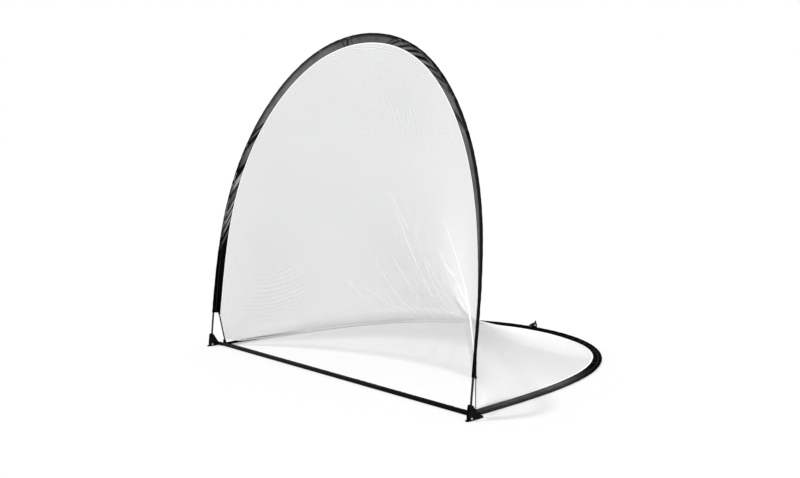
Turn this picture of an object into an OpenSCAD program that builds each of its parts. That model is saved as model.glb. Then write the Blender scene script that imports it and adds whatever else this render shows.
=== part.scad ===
// Fold-down goal: a bent pole arch, a bent pole bow on the ground, and a fine net between them.
// Millimetres. X runs along the goal line, +Y into the goal, +Z up.
// The origin is on the ground, under the middle of the crossbar.

/* [Goal] */
// Width between the two feet of the arch pole
goal_w = 2130; // [1500:10:2700]
// Height of the arch pole at its top
goal_h = 1810; // [1300:10:2200]
// Depth from the crossbar to the back of the bow pole
goal_d = 1735; // [1200:10:2200]
// How far the top of the arch leans back behind its feet
arch_lean = 320; // [120:5:450]
// Share of the lean that comes in late, near the top
lean_late = 0.49; // [0:0.01:0.8]
// Squareness of the arch: 1 is an ellipse, less is straighter legs
arch_square_power = 0.52; // [0.45:0.01:0.8]
// How much the arch draws in at its shoulders
arch_draw = 0.25; // [0:0.01:0.3]
// How much the crown of the arch rounds out again
arch_crown = 0.16; // [0:0.01:0.2]
// Squareness of the bow on the ground
bow_square_power = 0.93; // [0.8:0.01:1]
// How much the sides of the bow belly out
bow_belly = 0.27; // [0.1:0.01:0.35]
// How far each end of the bow is set in from the foot of the arch
bow_inset = 34; // [30:1:60]

/* [Poles] */
// Outside diameter of a glass-fibre pole
pole_d = 11; // [9:0.5:12]
// Bore of a pole, for the shock cord
pole_bore = 6; // [5:0.5:7]
// Length of the steel ferrule over each pole joint
ferrule_l = 76; // [50:2:100]
// Wall of a ferrule
ferrule_wall = 0.8; // [0.5:0.1:1]
// Diameter of the shock cord inside the poles
shock_d = 4; // [3:0.5:4.5]

/* [Sleeves] */
// Full width of a sleeve, from outside the pole to the net seam
band_w = 50; // [36:1:70]
// Thickness of the two layers of cloth in the band
band_t = 2.4; // [1.6:0.1:4]
// Wall of the pole pocket
pocket_wall = 0.9; // [0.6:0.1:1.6]
// Distance along the arch pole from the pivot pin up to the sleeve
bare_pole = 190; // [130:2:260]
// How far the bottom end of the arch band is turned back, in degrees
band_turn_angle = 68; // [0:1:80]
// How fast the turn fades up the leg
turn_fade_power = 2.4; // [1:0.1:4]
// Upward tilt of the band on the bow, in degrees
bow_tilt_angle = 12; // [4:1:20]

/* [Net] */
// Modelled thickness of the mesh
net_t = 0.8; // [0.6:0.1:1.5]
// Sideways pull in the net: more draws the middle down and forward
net_pull_ratio = 0.72; // [0.4:0.01:1]
// Number of tension folds on the right side
net_fold_count = 4; // [2:1:6]
// Height of a tension fold
fold_h = 5; // [0:0.5:8]
// Width of the webbing strap along each lower front corner
strap_w = 8; // [6:0.5:12]
// Thickness of the strap
strap_t = 1.6; // [1.2:0.1:2.5]

/* [Crossbar] */
// Outside diameter of the crossbar tube
bar_d = 16; // [13:0.5:19]
// Wall of the crossbar tube
bar_wall = 1.2; // [1:0.1:2]
// Width of the crossbar sleeve where it lies on the ground
bar_band = 66; // [44:1:80]
// Length of the joiner inside the tube
joiner_l = 120; // [80:2:160]

/* [Feet] */
// Distance from the crossbar forward to the pivot pins
pivot_set = 55; // [50:1:70]
// Height of the pivot pins above the ground
pivot_z = 12; // [12:0.5:16]
// Diameter of a pivot pin
pin_d = 6; // [5:0.5:8]
// Height of the foot at the pole
foot_h = 74; // [60:1:90]
// Length of the foot behind the pin
foot_l = 80; // [76:1:130]
// Thickness of each cheek
cheek_t = 3; // [2.5:0.5:4]
// Depth of the pole in its cup
cup_depth = 38; // [28:1:44]
// Diameter of the stake hole in the toe
stake_d = 8; // [6:0.5:9]

/* [Keeper] */
// Height of the keeper tab
tab_h = 28; // [22:1:50]
// Width of the keeper tab at its foot
tab_w = 66; // [48:1:80]
// Diameter of the toggle on the tab
toggle_d = 14; // [8:1:18]

/* [Clearances] */
// Gap between soft pieces, and from a soft piece to its neighbour
soft_gap = 0.3; // [0.2:0.05:0.5]
// Radial gap where a pole or tube pushes into its socket
push_gap = 0.15; // [0.1:0.05:0.3]
// Radial gap at the turning pins
pin_gap = 0.05; // [0.03:0.01:0.1]

/* [Hidden] */

cloth_black = "#2b2b2d";
cloth_grey = "#46474a";
net_white = "#f2f2f2";
plastic_black = "#1c1c1e";
pole_black = "#202023";
steel = "#b9bcc0";

pole_sections = 7;      // as many nodes each for the arch and the bow
samples = 360;          // points used to measure a pole's length
sleeve_steps = 52;      // straight steps along the arch sleeve
bare_steps = 2;         // straight steps along each bare leg
net_rows = 10;          // rows of the net from the arch to the bow
tube_sides = 8;
joint_gap = 0.9;        // between the ends of two pole sections or tubes, inside their ferrule

pole_r = pole_d / 2;
ferrule_r = pole_r + push_gap + ferrule_wall;
pocket_in = (ferrule_r + soft_gap) / cos(18);
pocket_out = pocket_in + pocket_wall;
band_reach = band_w - pocket_out;        // from the pole's centre line to the net seam
bar_r = bar_d / 2;
bar_z = bar_r + push_gap + soft_gap + pocket_wall;
bow_z = pocket_out * sin(72);
bow_half = goal_w / 2 - bow_inset;
cup_wall = 1.4;
cup_r = pole_r + push_gap + cup_wall;
slot_half = cup_r + 0.2;                 // the cup turns between the cheeks
cheek_out = slot_half + cheek_t;
knuckle_r = pin_d / 2 + 5;
cup_floor = knuckle_r + 2;               // where the pole starts, measured from the pin
web_t = 3;                               // floor of the foot
toe_l = 28;                              // reach of the toe in front of the pin
toe_t = 6;
bar_socket = 26;                         // depth of the crossbar in the foot
bow_socket = 20;                         // depth of the bow pole in the foot
socket_face = bow_inset + 12;            // inner face of the foot, from the arch pole
bow_start = 21;                          // where the bow pole starts, behind the crossbar
bow_sleeve_start = bow_socket + 2;

function unit(v) = v / norm(v);
function mix(a, b, f) = a + (b - a) * f;
function between(p, k) = let (i = min(floor(k), len(p) - 2)) mix(p[i], p[i + 1], k - i);
function lengths(p) = [for (i = 0, s = 0; i < len(p);
    s = s + (i + 1 < len(p) ? norm(p[i + 1] - p[i]) : 0), i = i + 1) s];
function ruler(p) = let (s = lengths(p)) [for (i = [0 : len(p) - 1]) [s[i], i]];
function total(p) = let (s = lengths(p)) s[len(s) - 1];
// n equal steps along the curve p, between two distances from its start
function walk(p, from, to, n) = let (r = ruler(p))
    [for (k = [0 : n]) between(p, lookup(from + (to - from) * k / n, r))];

// The two bent poles. The angle runs 0 to 180 and is slowed at the ends, where they start upright.
function arch_at(a) = let (c = cos(a), s = sin(a), h = pow(max(0, s), arch_square_power))
    [-goal_w / 2 * c * (1 - arch_draw * s * s + arch_crown * pow(s, 4)),
     -pivot_set + arch_lean * ((1 - lean_late) * h + lean_late * h * h),
     pivot_z + (goal_h - pivot_z) * h];
function bow_at(a) = let (c = cos(a), s = sin(a))
    [-bow_half * c * (1 + bow_belly * s * s - 0.066 * pow(s, 4)),
     bow_start + (goal_d - bow_start) * pow(max(0, s), bow_square_power), bow_z];
slow = [for (i = [0 : samples]) 90 * (1 - cos(180 * i / samples))];
arch_curve = [for (a = slow) arch_at(a)];
bow_curve = [for (a = slow) bow_at(a)];
arch_l = total(arch_curve);
bow_l = total(bow_curve);
sleeve_from = bare_pole;

// Every piece on a pole follows the same straight steps, so they nest without touching.
arch_path = concat(
    [for (p = walk(arch_curve, cup_floor, sleeve_from, bare_steps)) p],
    [for (i = [1 : sleeve_steps - 1])
        walk(arch_curve, sleeve_from, arch_l - sleeve_from, sleeve_steps)[i]],
    [for (p = walk(arch_curve, arch_l - sleeve_from, arch_l - cup_floor, bare_steps)) p]);
bow_steps = sleeve_steps + 2 * bare_steps;
bow_path = concat([bow_curve[0]],
    walk(bow_curve, bow_sleeve_start, bow_l - bow_sleeve_start, bow_steps), [bow_curve[samples]]);

// Frame at station k of a path: point, inward, outward of the plane, and heading
function heading(p, k) = let (i = floor(k), n = len(p) - 1)
    k > i ? unit(p[i + 1] - p[i]) :
    i == 0 ? unit(p[1] - p[0]) :
    i == n ? unit(p[n] - p[n - 1]) : unit(unit(p[i + 1] - p[i]) + unit(p[i] - p[i - 1]));
function frame_at(p, k, ref) = let (t = heading(p, k), n = unit(cross(ref, t)))
    [between(p, k), n, cross(t, n), t];
arch_ref = [0, 1, 0];
bow_ref = [0, 0, -1];

// Stations of a path between two distances: both ends and every bend between them
function span(p, from, to) = let (r = ruler(p), a = lookup(from, r), b = lookup(to, r))
    concat([a], [for (i = [0 : len(p) - 1]) if (i > a + 0.001 && i < b - 0.001) i], [b]);
function round_ring(r, sides) = [for (j = [0 : sides - 1])
    let (a = 360 * (j + 0.5) / sides) r * [cos(a), sin(a)]];
function ring_at(f, shape, turn = 0) = let (u = cos(turn) * f[1] + sin(turn) * f[2],
    v = cos(turn) * f[2] - sin(turn) * f[1]) [for (q = shape) f[0] + q[0] * u + q[1] * v];
function rings(p, stations, ref, shape) =
    [for (k = stations) ring_at(frame_at(p, k, ref), shape)];

function flat(lists) = [for (l = lists) for (x = l) x];
function wall_faces(m, n, first, out) = [for (i = [0 : m - 2], j = [0 : n - 1])
    let (a = first + i * n + j, b = first + i * n + (j + 1) % n, c = a + n, d = b + n)
    each out ? [[a, c, d], [a, d, b]] : [[a, d, c], [a, b, d]]];

// Solid through a list of convex rings
module loft(r) {
    m = len(r);
    n = len(r[0]);
    polyhedron(flat(r), concat(wall_faces(m, n, 0, true),
        [for (j = [1 : n - 2]) [0, j, j + 1]],
        [for (j = [1 : n - 2]) (m - 1) * n * [1, 1, 1] + [0, j + 1, j]]), 10);
}

// Tube through a list of outer rings and a list of inner rings of as many points
module loft_tube(outer, inner) {
    m = len(outer);
    n = len(outer[0]);
    q = m * n;
    e = (m - 1) * n;
    polyhedron(concat(flat(outer), flat(inner)), concat(wall_faces(m, n, 0, true),
        wall_faces(m, n, q, false),
        [for (j = [0 : n - 1]) let (k = (j + 1) % n) each [[j, k, q + k], [j, q + k, q + j]]],
        [for (j = [0 : n - 1]) let (k = (j + 1) % n)
            each [[e + j, q + e + k, e + k], [e + j, q + e + j, q + e + k]]]), 10);
}

module pipe(p, ref, from, to, r_out, r_in) {
    st = span(p, from, to);
    loft_tube(rings(p, st, ref, round_ring(r_out, tube_sides)),
        rings(p, st, ref, round_ring(r_in, tube_sides)));
}

// One section of a pole, number 1 at the left foot
module pole_section(p, ref, number) {
    l = total(p) / pole_sections;
    color(pole_black)
        pipe(p, ref, number == 1 ? 0 : (number - 1) * l + joint_gap / 2,
            number == pole_sections ? total(p) : number * l - joint_gap / 2,
            pole_r, pole_bore / 2);
}

module ferrules(p, ref) {
    l = total(p) / pole_sections;
    color(steel)
        for (i = [1 : pole_sections - 1])
            pipe(p, ref, i * l - ferrule_l / 2, i * l + ferrule_l / 2, ferrule_r, pole_r + push_gap);
}

module shock_cord(p, ref) {
    color("white")
        loft(rings(p, span(p, 0, total(p)), ref, round_ring(shock_d / 2, 6)));
}

// Sleeve section: pocket round the pole and a flat band towards the net. The ten points of the
// outline pair with the ten points of the pocket's bore.
function band_mid(x, tilt) = (x - pocket_out) * tan(tilt);
function sleeve_outline(tilt) = let (x = 2.4 * pocket_out, e = band_reach, h = band_t / 2)
    concat([[e, band_mid(e, tilt) - h], [e, band_mid(e, tilt) + h], [x, band_mid(x, tilt) + 1.2 * h]],
        [for (a = [72, 108, 156, 204, 252, 288]) pocket_out * [cos(a), sin(a)]],
        [[x, band_mid(x, tilt) - 1.2 * h]]);
function sleeve_bore() = [for (j = [0 : 9]) let (a = 36 * j - 18) pocket_in * [cos(a), sin(a)]];
// Mirrors a section across its band, for the bow, whose frame has its second axis down
function upside(q) = [for (i = [len(q) - 1 : -1 : 0]) [q[i][0], -q[i][1]]];

function turn_at(z) = let (z0 = arch_path[bare_steps][2])
    band_turn_angle * pow(max(0, 1 - (z - z0) / (goal_h - z0)), turn_fade_power);
function arch_frame(i) = frame_at(arch_path, i, arch_ref);
arch_stations = [bare_steps : bare_steps + sleeve_steps];

module arch_sleeve() {
    color(cloth_black)
        loft_tube(
            [for (i = arch_stations)
                ring_at(arch_frame(i), sleeve_outline(0), turn_at(arch_path[i][2]))],
            [for (i = arch_stations)
                ring_at(arch_frame(i), sleeve_bore(), turn_at(arch_path[i][2]))]);
}

module bow_sleeve() {
    color(cloth_grey)
        loft_tube(
            [for (i = [1 : bow_steps + 1])
                ring_at(frame_at(bow_path, i, bow_ref), upside(sleeve_outline(bow_tilt_angle)))],
            [for (i = [1 : bow_steps + 1])
                ring_at(frame_at(bow_path, i, bow_ref), upside(sleeve_bore()))]);
}

// The crossbar: three tubes, two joiners inside them, and a sleeve that lies on the ground
bar_end = goal_w / 2 - socket_face + bar_socket;
bar_third = 2 * bar_end / 3;

module along_x(x, l) {
    translate([x, 0, bar_z]) rotate([0, 90, 0]) linear_extrude(l) children();
}

module crossbar_tube(number) {
    x = -bar_end + (number - 1) * bar_third;
    a = number == 1 ? 0 : joint_gap / 2;
    b = number == 3 ? 0 : joint_gap / 2;
    color(pole_black)
        along_x(x + a, bar_third - a - b)
            difference() {
                circle(bar_r, $fn = 48);
                circle(bar_r - bar_wall, $fn = 48);
            }
}

module crossbar_joiners() {
    color(steel)
        for (i = [1, 2])
            along_x(-bar_end + i * bar_third - joiner_l / 2, joiner_l)
                difference() {
                    circle(bar_r - bar_wall - push_gap, $fn = 48);
                    circle(bar_r - 2 * bar_wall - push_gap, $fn = 48);
                }
}

module crossbar_sleeve() {
    l = goal_w - 2 * socket_face - 2 * soft_gap;
    out = bar_z;
    back = bar_band - out;
    color(cloth_grey)
        translate([-l / 2, 0, 0]) rotate([90, 0, 90]) linear_extrude(l)
            difference() {
                union() {
                    translate([0, bar_z]) circle(out, $fn = 64);
                    translate([-out * 0.6, 0]) square([out * 0.6, out * 0.4]);
                    polygon([[0, 0], [back, 0], [back, band_t], [out * 2, band_t * 1.4],
                        [out * cos(40), bar_z + out * sin(40)], [0, bar_z]]);
                }
                translate([0, bar_z]) circle(bar_r + push_gap + soft_gap, $fn = 48);
            }
}

// The feet. Drawn for the right side, with the pivot pin at x = 0, y = 0; the left is its mirror.
module at_foot(side) {
    mirror([side < 0 ? 1 : 0, 0, 0]) translate([goal_w / 2, -pivot_set, 0]) children();
}

module cheek_outline() {
    polygon([[-12, 0], [foot_l, 0], [foot_l, 7], [foot_l - 3, 9], [58, 12], [46, 20], [34, 36],
        [15, foot_h - 8], [10, foot_h - 2], [5, foot_h], [-4, foot_h], [-7, foot_h - 3], [-13, 22],
        [-13, 6]]);
}

module foot(side) {
    bar_y = pivot_set;
    bow_x = -bow_inset;
    bow_y = pivot_set + bow_start;
    bar_out = bar_z;
    bow_out = bow_z;
    color(plastic_black) at_foot(side) difference() {
        union() {
            for (x = [-cheek_out, slot_half])
                translate([x, 0, 0]) rotate([90, 0, 90]) linear_extrude(cheek_t) cheek_outline();
            translate([-cheek_out, -12, 0]) cube([2 * cheek_out, foot_l + 12, web_t]);
            // toe with the stake hole
            translate([0, -toe_l + 9, 0]) cylinder(r = 9, h = toe_t, $fn = 48);
            translate([-9, -toe_l + 9, 0]) cube([18, toe_l - 9 - 12.5, toe_t]);
            // crossbar socket
            translate([-socket_face, bar_y, bar_z]) rotate([0, 90, 0])
                cylinder(r = bar_out, h = socket_face - slot_half - 0.5, $fn = 64);
            translate([-socket_face, bar_y - bar_out, 0])
                cube([socket_face - slot_half - 0.5, 2 * bar_out, bar_z]);
            // bow socket
            translate([bow_x, bar_y, bow_z]) rotate([-90, 0, 0])
                cylinder(r = bow_out, h = bow_y - bar_y + bow_socket, $fn = 64);
            translate([bow_x - bow_out, bar_y, 0])
                cube([2 * bow_out, bow_y - bar_y + bow_socket, bow_z]);
            // rib that ties the sockets to the inner cheek
            translate([bow_x, bar_y, 0])
                cube([bow_inset - slot_half - 0.5, bow_y - bar_y + bow_socket, web_t + 2]);
        }
        translate([-cheek_out - 1, 0, pivot_z]) rotate([0, 90, 0])
            cylinder(r = pin_d / 2 + pin_gap, h = 2 * cheek_out + 2, $fn = 48);
        translate([0, -toe_l + 9, -1]) cylinder(r = stake_d / 2, h = toe_t + 2, $fn = 48);
        translate([-socket_face - 1, bar_y, bar_z]) rotate([0, 90, 0])
            cylinder(r = bar_r + push_gap, h = bar_socket + 1.3, $fn = 48);
        translate([bow_x, bow_y - 0.3, bow_z]) rotate([-90, 0, 0])
            cylinder(r = pole_r + push_gap, h = bow_socket + 2, $fn = 48);
    }
}

module pivot_pin(side) {
    head_r = pin_d / 2 + 2.5;
    head_t = 2;
    color(steel) at_foot(side) translate([0, 0, pivot_z]) rotate([0, 90, 0]) {
        translate([0, 0, -cheek_out - head_t]) cylinder(r = head_r, h = head_t, $fn = 48);
        translate([0, 0, -cheek_out - 0.5])
            cylinder(r = pin_d / 2, h = 2 * cheek_out + 1, $fn = 48);
        translate([0, 0, cheek_out]) cylinder(r = head_r, h = head_t, $fn = 48);
    }
}

// The cup turns on the pin and leans with the first step of the pole.
first_step = arch_path[1] - arch_path[0];
cup_lean = atan2(first_step[1], first_step[2]);

module pole_cup(side) {
    start = arch_path[0] - [-goal_w / 2, -pivot_set, 0];
    color(plastic_black) at_foot(side) difference() {
        union() {
            translate([-slot_half + 0.2, 0, pivot_z]) rotate([0, 90, 0])
                cylinder(r = knuckle_r, h = 2 * slot_half - 0.4, $fn = 64);
            translate([0, start[1], start[2]]) rotate([-cup_lean, 0, 0])
                translate([0, 0, -cup_floor + 2])
                    cylinder(r = cup_r, h = cup_depth + cup_floor - 2, $fn = 64);
        }
        translate([-slot_half - 1, 0, pivot_z]) rotate([0, 90, 0])
            cylinder(r = pin_d / 2 + pin_gap, h = 2 * slot_half + 2, $fn = 48);
        translate([0, start[1], start[2]]) rotate([-cup_lean, 0, 0])
            translate([0, 0, -0.3]) cylinder(r = pole_r + push_gap, h = cup_depth + 5, $fn = 48);
    }
}

// The lower front corners: a strap from the end of the arch band down to the foot
anchor_y = bow_start - 4;
anchor_h = 18;
slider_h = 12;
slider_w = 12;
slider_t = 6;
strap_dip = 0.45 * strap_w / 2;          // how far a slanted strap end reaches past its middle
function strap_foot(side) =
    [side * bow_half, anchor_y, 2 * bow_z + anchor_h + soft_gap + strap_dip];
function corner_frame(side) =
    let (i = side < 0 ? bare_steps : bare_steps + sleeve_steps, f = arch_frame(i),
        a = turn_at(f[0][2]), u = cos(a) * f[1] + sin(a) * f[2])
    [f[0], u, cross(f[3], u), side < 0 ? f[3] : -f[3]];
function strap_head(side) = let (f = corner_frame(side))
    f[0] + (band_reach - strap_w / 2) * f[1] - (slider_h + 2 * soft_gap + strap_dip) * f[3];

// Rings of a flat bar, from point a to point b, with its width towards w
function across(a, b, w) = let (t = unit(b - a)) unit(w - (w * t) * t);
function bar_rings(a, b, w, width, thick) = let (u = across(a, b, w), v = cross(unit(b - a), u))
    [for (p = [a, mix(a, b, 0.5), b]) [for (s = [[-1, -1], [1, -1], [1, 1], [-1, 1]])
        p + s[0] * width / 2 * u + s[1] * thick / 2 * v]];

module edge_strap(side) {
    color(cloth_black)
        loft(bar_rings(strap_foot(side), strap_head(side), corner_frame(side)[1], strap_w, strap_t));
}

module strap_slider(side) {
    f = corner_frame(side);
    top = f[0] + (band_reach - slider_w / 2) * f[1] - soft_gap * f[3];
    color(plastic_black)
        loft(bar_rings(top - slider_h * f[3], top, f[1], slider_w, slider_t));
}

module strap_anchor(side) {
    color(plastic_black)
        translate([side * bow_half, anchor_y, 2 * bow_z])
            translate([-6, -7, 0]) difference() {
                cube([12, 14, anchor_h]);
                translate([-1, 7, anchor_h / 2]) rotate([0, 90, 0]) cylinder(r = 1.6, h = 14, $fn = 24);
            }
}

// The net hangs between two seams: one along the arch band and the straps, one along the bow band.
// It is the surface whose weight-free pull balances everywhere, summed from its sine waves.
seam = soft_gap + net_t / 2;
function arch_seam(c) = let (n = 2 * bare_steps + sleeve_steps, left = c < bare_steps,
        side = left ? -1 : 1, d = left ? c : n - c, f = corner_frame(side))
    d >= bare_steps
        ? (let (f = arch_frame(c), a = turn_at(f[0][2]))
            f[0] + (band_reach + seam) * (cos(a) * f[1] + sin(a) * f[2]))
        : beside_strap(side, 0.25 + 0.75 * d / bare_steps);
// The net's edge beside a strap, a share of the way up it
function beside_strap(side, share) = let (a = strap_foot(side), b = strap_head(side))
    mix(a, b, share) + (strap_w / 2 + seam) * across(a, b, corner_frame(side)[1]);
// At each end the seam climbs over the band to the foot of the strap.
function bow_seam(c) = let (f = frame_at(bow_path, c + 1, bow_ref), d = min(c, bow_steps - c),
        over = d == 1 ? band_t / 2 + 2 * seam : d == 2 ? band_t / 2 : 0)
    d == 0 ? beside_strap(c == 0 ? -1 : 1, 0.01) :
    f[0] + (band_reach + seam / cos(bow_tilt_angle)) * f[1]
        - (band_mid(band_reach, bow_tilt_angle) + over) * f[2];

function fade(l, v) = (exp(-l * v) - exp(-l * (2 - v))) / (1 - exp(-2 * l));

module net() {
    n = bow_steps;
    top = [for (c = [0 : n]) arch_seam(c)];
    low = [for (c = [0 : n]) bow_seam(c)];
    top_rest = [for (c = [0 : n]) top[c] - mix(top[0], top[n], c / n)];
    low_rest = [for (c = [0 : n]) low[c] - mix(low[0], low[n], c / n)];
    wave = [for (k = [0 : n]) [for (c = [0 : n]) sin(180 * k * c / n)]];
    top_k = [for (k = [1 : n - 1]) 2 / n * wave[k] * top_rest];
    low_k = [for (k = [1 : n - 1]) 2 / n * wave[k] * low_rest];
    plain = [for (c = [0 : n]) [for (r = [0 : net_rows])
        let (v = r / net_rows,
            s = [for (k = [1 : n - 1]) let (l = PI * k * net_pull_ratio)
                wave[k][c] * (fade(l, v) * top_k[k - 1] + fade(l, 1 - v) * low_k[k - 1])])
        r == 0 ? top[c] : r == net_rows ? low[c] :
            mix(mix(top[0], top[n], c / n), mix(low[0], low[n], c / n), v)
                + [for (i = [1 : n - 1]) 1] * s]];
    normal = [for (c = [0 : n]) [for (r = [0 : net_rows])
        unit(cross(plain[min(c + 1, n)][r] - plain[max(c - 1, 0)][r],
            plain[c][min(r + 1, net_rows)] - plain[c][max(r - 1, 0)]))]];
    lift = [for (c = [0 : n]) [for (r = [0 : net_rows])
        let (u = (c / n - 0.54) / 0.3, v = r / net_rows)
        u <= 0 || u >= 1 ? 0 : fold_h * sin(360 * net_fold_count * u) * sin(180 * u)
            * pow(sin(180 * pow(v, 0.8)), 2)]];
    mid = [for (c = [0 : n]) [for (r = [0 : net_rows]) plain[c][r] + lift[c][r] * normal[c][r]]];
    face = [for (side = [1, -1]) each [for (c = [0 : n]) for (r = [0 : net_rows])
        mid[c][r] + side * net_t / 2 * normal[c][r]]];
    w = net_rows + 1;
    q = (n + 1) * w;
    rim = concat([for (c = [0 : n]) c * w], [for (r = [1 : net_rows]) n * w + r],
        [for (c = [n - 1 : -1 : 0]) c * w + net_rows], [for (r = [net_rows - 1 : -1 : 1]) r]);
    color(net_white)
        polyhedron(face, concat(
            [for (c = [0 : n - 1], r = [0 : net_rows - 1]) let (a = c * w + r)
                each [[a, a + 1, a + w + 1], [a, a + w + 1, a + w]]],
            [for (c = [0 : n - 1], r = [0 : net_rows - 1]) let (a = q + c * w + r)
                each [[a, a + w + 1, a + 1], [a, a + w, a + w + 1]]],
            [for (i = [0 : len(rim) - 1]) let (a = rim[i], b = rim[(i + 1) % len(rim)])
                each [[a, b, q + b], [a, q + b, q + a]]]), 10);
}

// The keeper tab stands on the bow sleeve, a little left of its middle.
tab_x = -61;

module keeper_tab() {
    color(cloth_black)
        translate([tab_x, goal_d + band_t / 2, 2 * bow_z + 0.1]) rotate([90, 0, 0])
            linear_extrude(band_t) difference() {
                polygon([[-tab_w / 2, 0], [tab_w / 2, 0], [tab_w / 2 - 2, tab_h - 3],
                    [tab_w / 2 - 5, tab_h], [4, tab_h], [-2, tab_h - 5],
                    [-tab_w / 2 + 14, tab_h * 0.55], [-tab_w / 2, 4]]);
                translate([tab_w / 2 - 15, 12]) circle(4, $fn = 32);
            }
}

module keeper_toggle() {
    color(plastic_black)
        translate([tab_x + tab_w / 2 - 13, goal_d, 2 * bow_z + tab_h + 0.2 + toggle_d / 2])
            sphere(d = toggle_d, $fn = 32);
}

pole_section(arch_path, arch_ref, 1);  // arch_pole_1
pole_section(arch_path, arch_ref, 2);  // arch_pole_2
pole_section(arch_path, arch_ref, 3);  // arch_pole_3
pole_section(arch_path, arch_ref, 4);  // arch_pole_4
pole_section(arch_path, arch_ref, 5);  // arch_pole_5
pole_section(arch_path, arch_ref, 6);  // arch_pole_6
pole_section(arch_path, arch_ref, 7);  // arch_pole_7
ferrules(arch_path, arch_ref);  // arch_ferrules
shock_cord(arch_path, arch_ref);  // arch_shock_cord
arch_sleeve();
pole_cup(-1);  // pole_cup_left
pole_cup(1);  // pole_cup_right
strap_slider(-1);  // strap_slider_left
strap_slider(1);  // strap_slider_right
foot(-1);  // foot_left
foot(1);  // foot_right
pivot_pin(-1);  // pivot_pin_left
pivot_pin(1);  // pivot_pin_right
crossbar_tube(1);  // crossbar_tube_left
crossbar_tube(2);  // crossbar_tube_middle
crossbar_tube(3);  // crossbar_tube_right
crossbar_joiners();
crossbar_sleeve();
pole_section(bow_path, bow_ref, 1);  // bow_pole_1
pole_section(bow_path, bow_ref, 2);  // bow_pole_2
pole_section(bow_path, bow_ref, 3);  // bow_pole_3
pole_section(bow_path, bow_ref, 4);  // bow_pole_4
pole_section(bow_path, bow_ref, 5);  // bow_pole_5
pole_section(bow_path, bow_ref, 6);  // bow_pole_6
pole_section(bow_path, bow_ref, 7);  // bow_pole_7
ferrules(bow_path, bow_ref);  // bow_ferrules
shock_cord(bow_path, bow_ref);  // bow_shock_cord
bow_sleeve();
strap_anchor(-1);  // strap_anchor_left
strap_anchor(1);  // strap_anchor_right
edge_strap(-1);  // edge_strap_left
edge_strap(1);  // edge_strap_right
net();
keeper_tab();
keeper_toggle();
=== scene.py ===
import math
from functools import partial
import bpy
import numpy as np
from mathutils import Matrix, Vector


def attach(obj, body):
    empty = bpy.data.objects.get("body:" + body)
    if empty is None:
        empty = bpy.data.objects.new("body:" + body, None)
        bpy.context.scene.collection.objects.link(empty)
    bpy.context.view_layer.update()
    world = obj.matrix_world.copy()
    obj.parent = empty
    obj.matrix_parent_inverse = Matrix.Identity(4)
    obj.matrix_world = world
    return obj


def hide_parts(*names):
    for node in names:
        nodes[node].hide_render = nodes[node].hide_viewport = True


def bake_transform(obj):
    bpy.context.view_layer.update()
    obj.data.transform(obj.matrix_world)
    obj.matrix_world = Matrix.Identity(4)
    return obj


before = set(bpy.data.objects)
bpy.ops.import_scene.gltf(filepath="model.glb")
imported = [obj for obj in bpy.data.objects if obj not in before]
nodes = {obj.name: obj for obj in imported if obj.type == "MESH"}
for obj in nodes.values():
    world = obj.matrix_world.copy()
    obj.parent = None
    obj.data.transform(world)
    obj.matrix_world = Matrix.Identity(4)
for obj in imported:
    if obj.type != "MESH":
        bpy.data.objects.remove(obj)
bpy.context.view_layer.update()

print("frame loaded:", len(nodes), "nodes")

# The camera stands at chest height, in front of the goal and to its right.
view = {"place": (4.417, -3.637, 1.464), "tiltDown": 0.126, "turn": 0.818,
        "lens": 49.25, "sensor": 36, "clip": 200}

cameraData = bpy.data.cameras.new("camera")
cameraData.lens = view["lens"]
cameraData.sensor_width = view["sensor"]
cameraData.sensor_fit = "HORIZONTAL"
cameraData.clip_end = view["clip"]
camera = bpy.data.objects.new("camera", cameraData)
camera.location = view["place"]
camera.rotation_euler = (math.pi / 2 - view["tiltDown"], 0, view["turn"])
bpy.context.scene.collection.objects.link(camera)
bpy.context.scene.camera = camera
bpy.context.scene.view_settings.view_transform = "Standard"

# The two bent poles, as the solids have them. Metres, between pole centres.
goal = {
    "width": 2.13, "height": 1.81, "depth": 1.735,
    "lean": 0.32, "lateLean": 0.49,
    "archSquare": 0.52, "archDraw": 0.25, "archCrown": 0.16,
    "bowSquare": 0.93, "bowBelly": 0.27, "bowEase": 0.066, "bowInset": 0.034, "bowStart": 0.021,
    "pivotSet": 0.055, "pivotHeight": 0.012,
}
pole = {"radius": 0.0055, "bore": 0.003, "sections": 7, "jointGap": 0.0009, "pushGap": 0.00015,
        "ferrule": 0.076, "ferruleWall": 0.0008, "cord": 0.002, "cupFloor": 0.01}
band = {"width": 0.05, "thick": 0.0024, "wall": 0.0009, "gap": 0.0003, "barePole": 0.19,
        "turn": math.radians(68), "turnPower": 2.4, "bowSocket": 0.022,
        "halfFacet": 18,  # the pocket is ten-sided in the solids
        # how far the bow's band tips up, in degrees: (distance along the bow, tip)
        "bowTilt": [(0.15, 12), (0.5, -7), (2.6, -7), (3.2, 14), (4.3, 12)]}

ferruleRadius = pole["radius"] + pole["pushGap"] + pole["ferruleWall"]
pocketIn = (ferruleRadius + band["gap"]) / math.cos(math.radians(band["halfFacet"]))
pocketOut = pocketIn + band["wall"]
bandReach = band["width"] - pocketOut  # from the pole's centre to the net's seam
bowHeight = pocketOut * math.sin(math.radians(90 - band["halfFacet"]))
bowHalf = goal["width"] / 2 - goal["bowInset"]


def archAt(angle):
    c, s = np.cos(angle), np.clip(np.sin(angle), 0, None)
    h = s ** goal["archSquare"]
    late = goal["lateLean"]
    return np.stack([-goal["width"] / 2 * c * (1 - goal["archDraw"] * s**2 + goal["archCrown"] * s**4),
                     -goal["pivotSet"] + goal["lean"] * ((1 - late) * h + late * h**2),
                     goal["pivotHeight"] + (goal["height"] - goal["pivotHeight"]) * h], -1)


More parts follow.
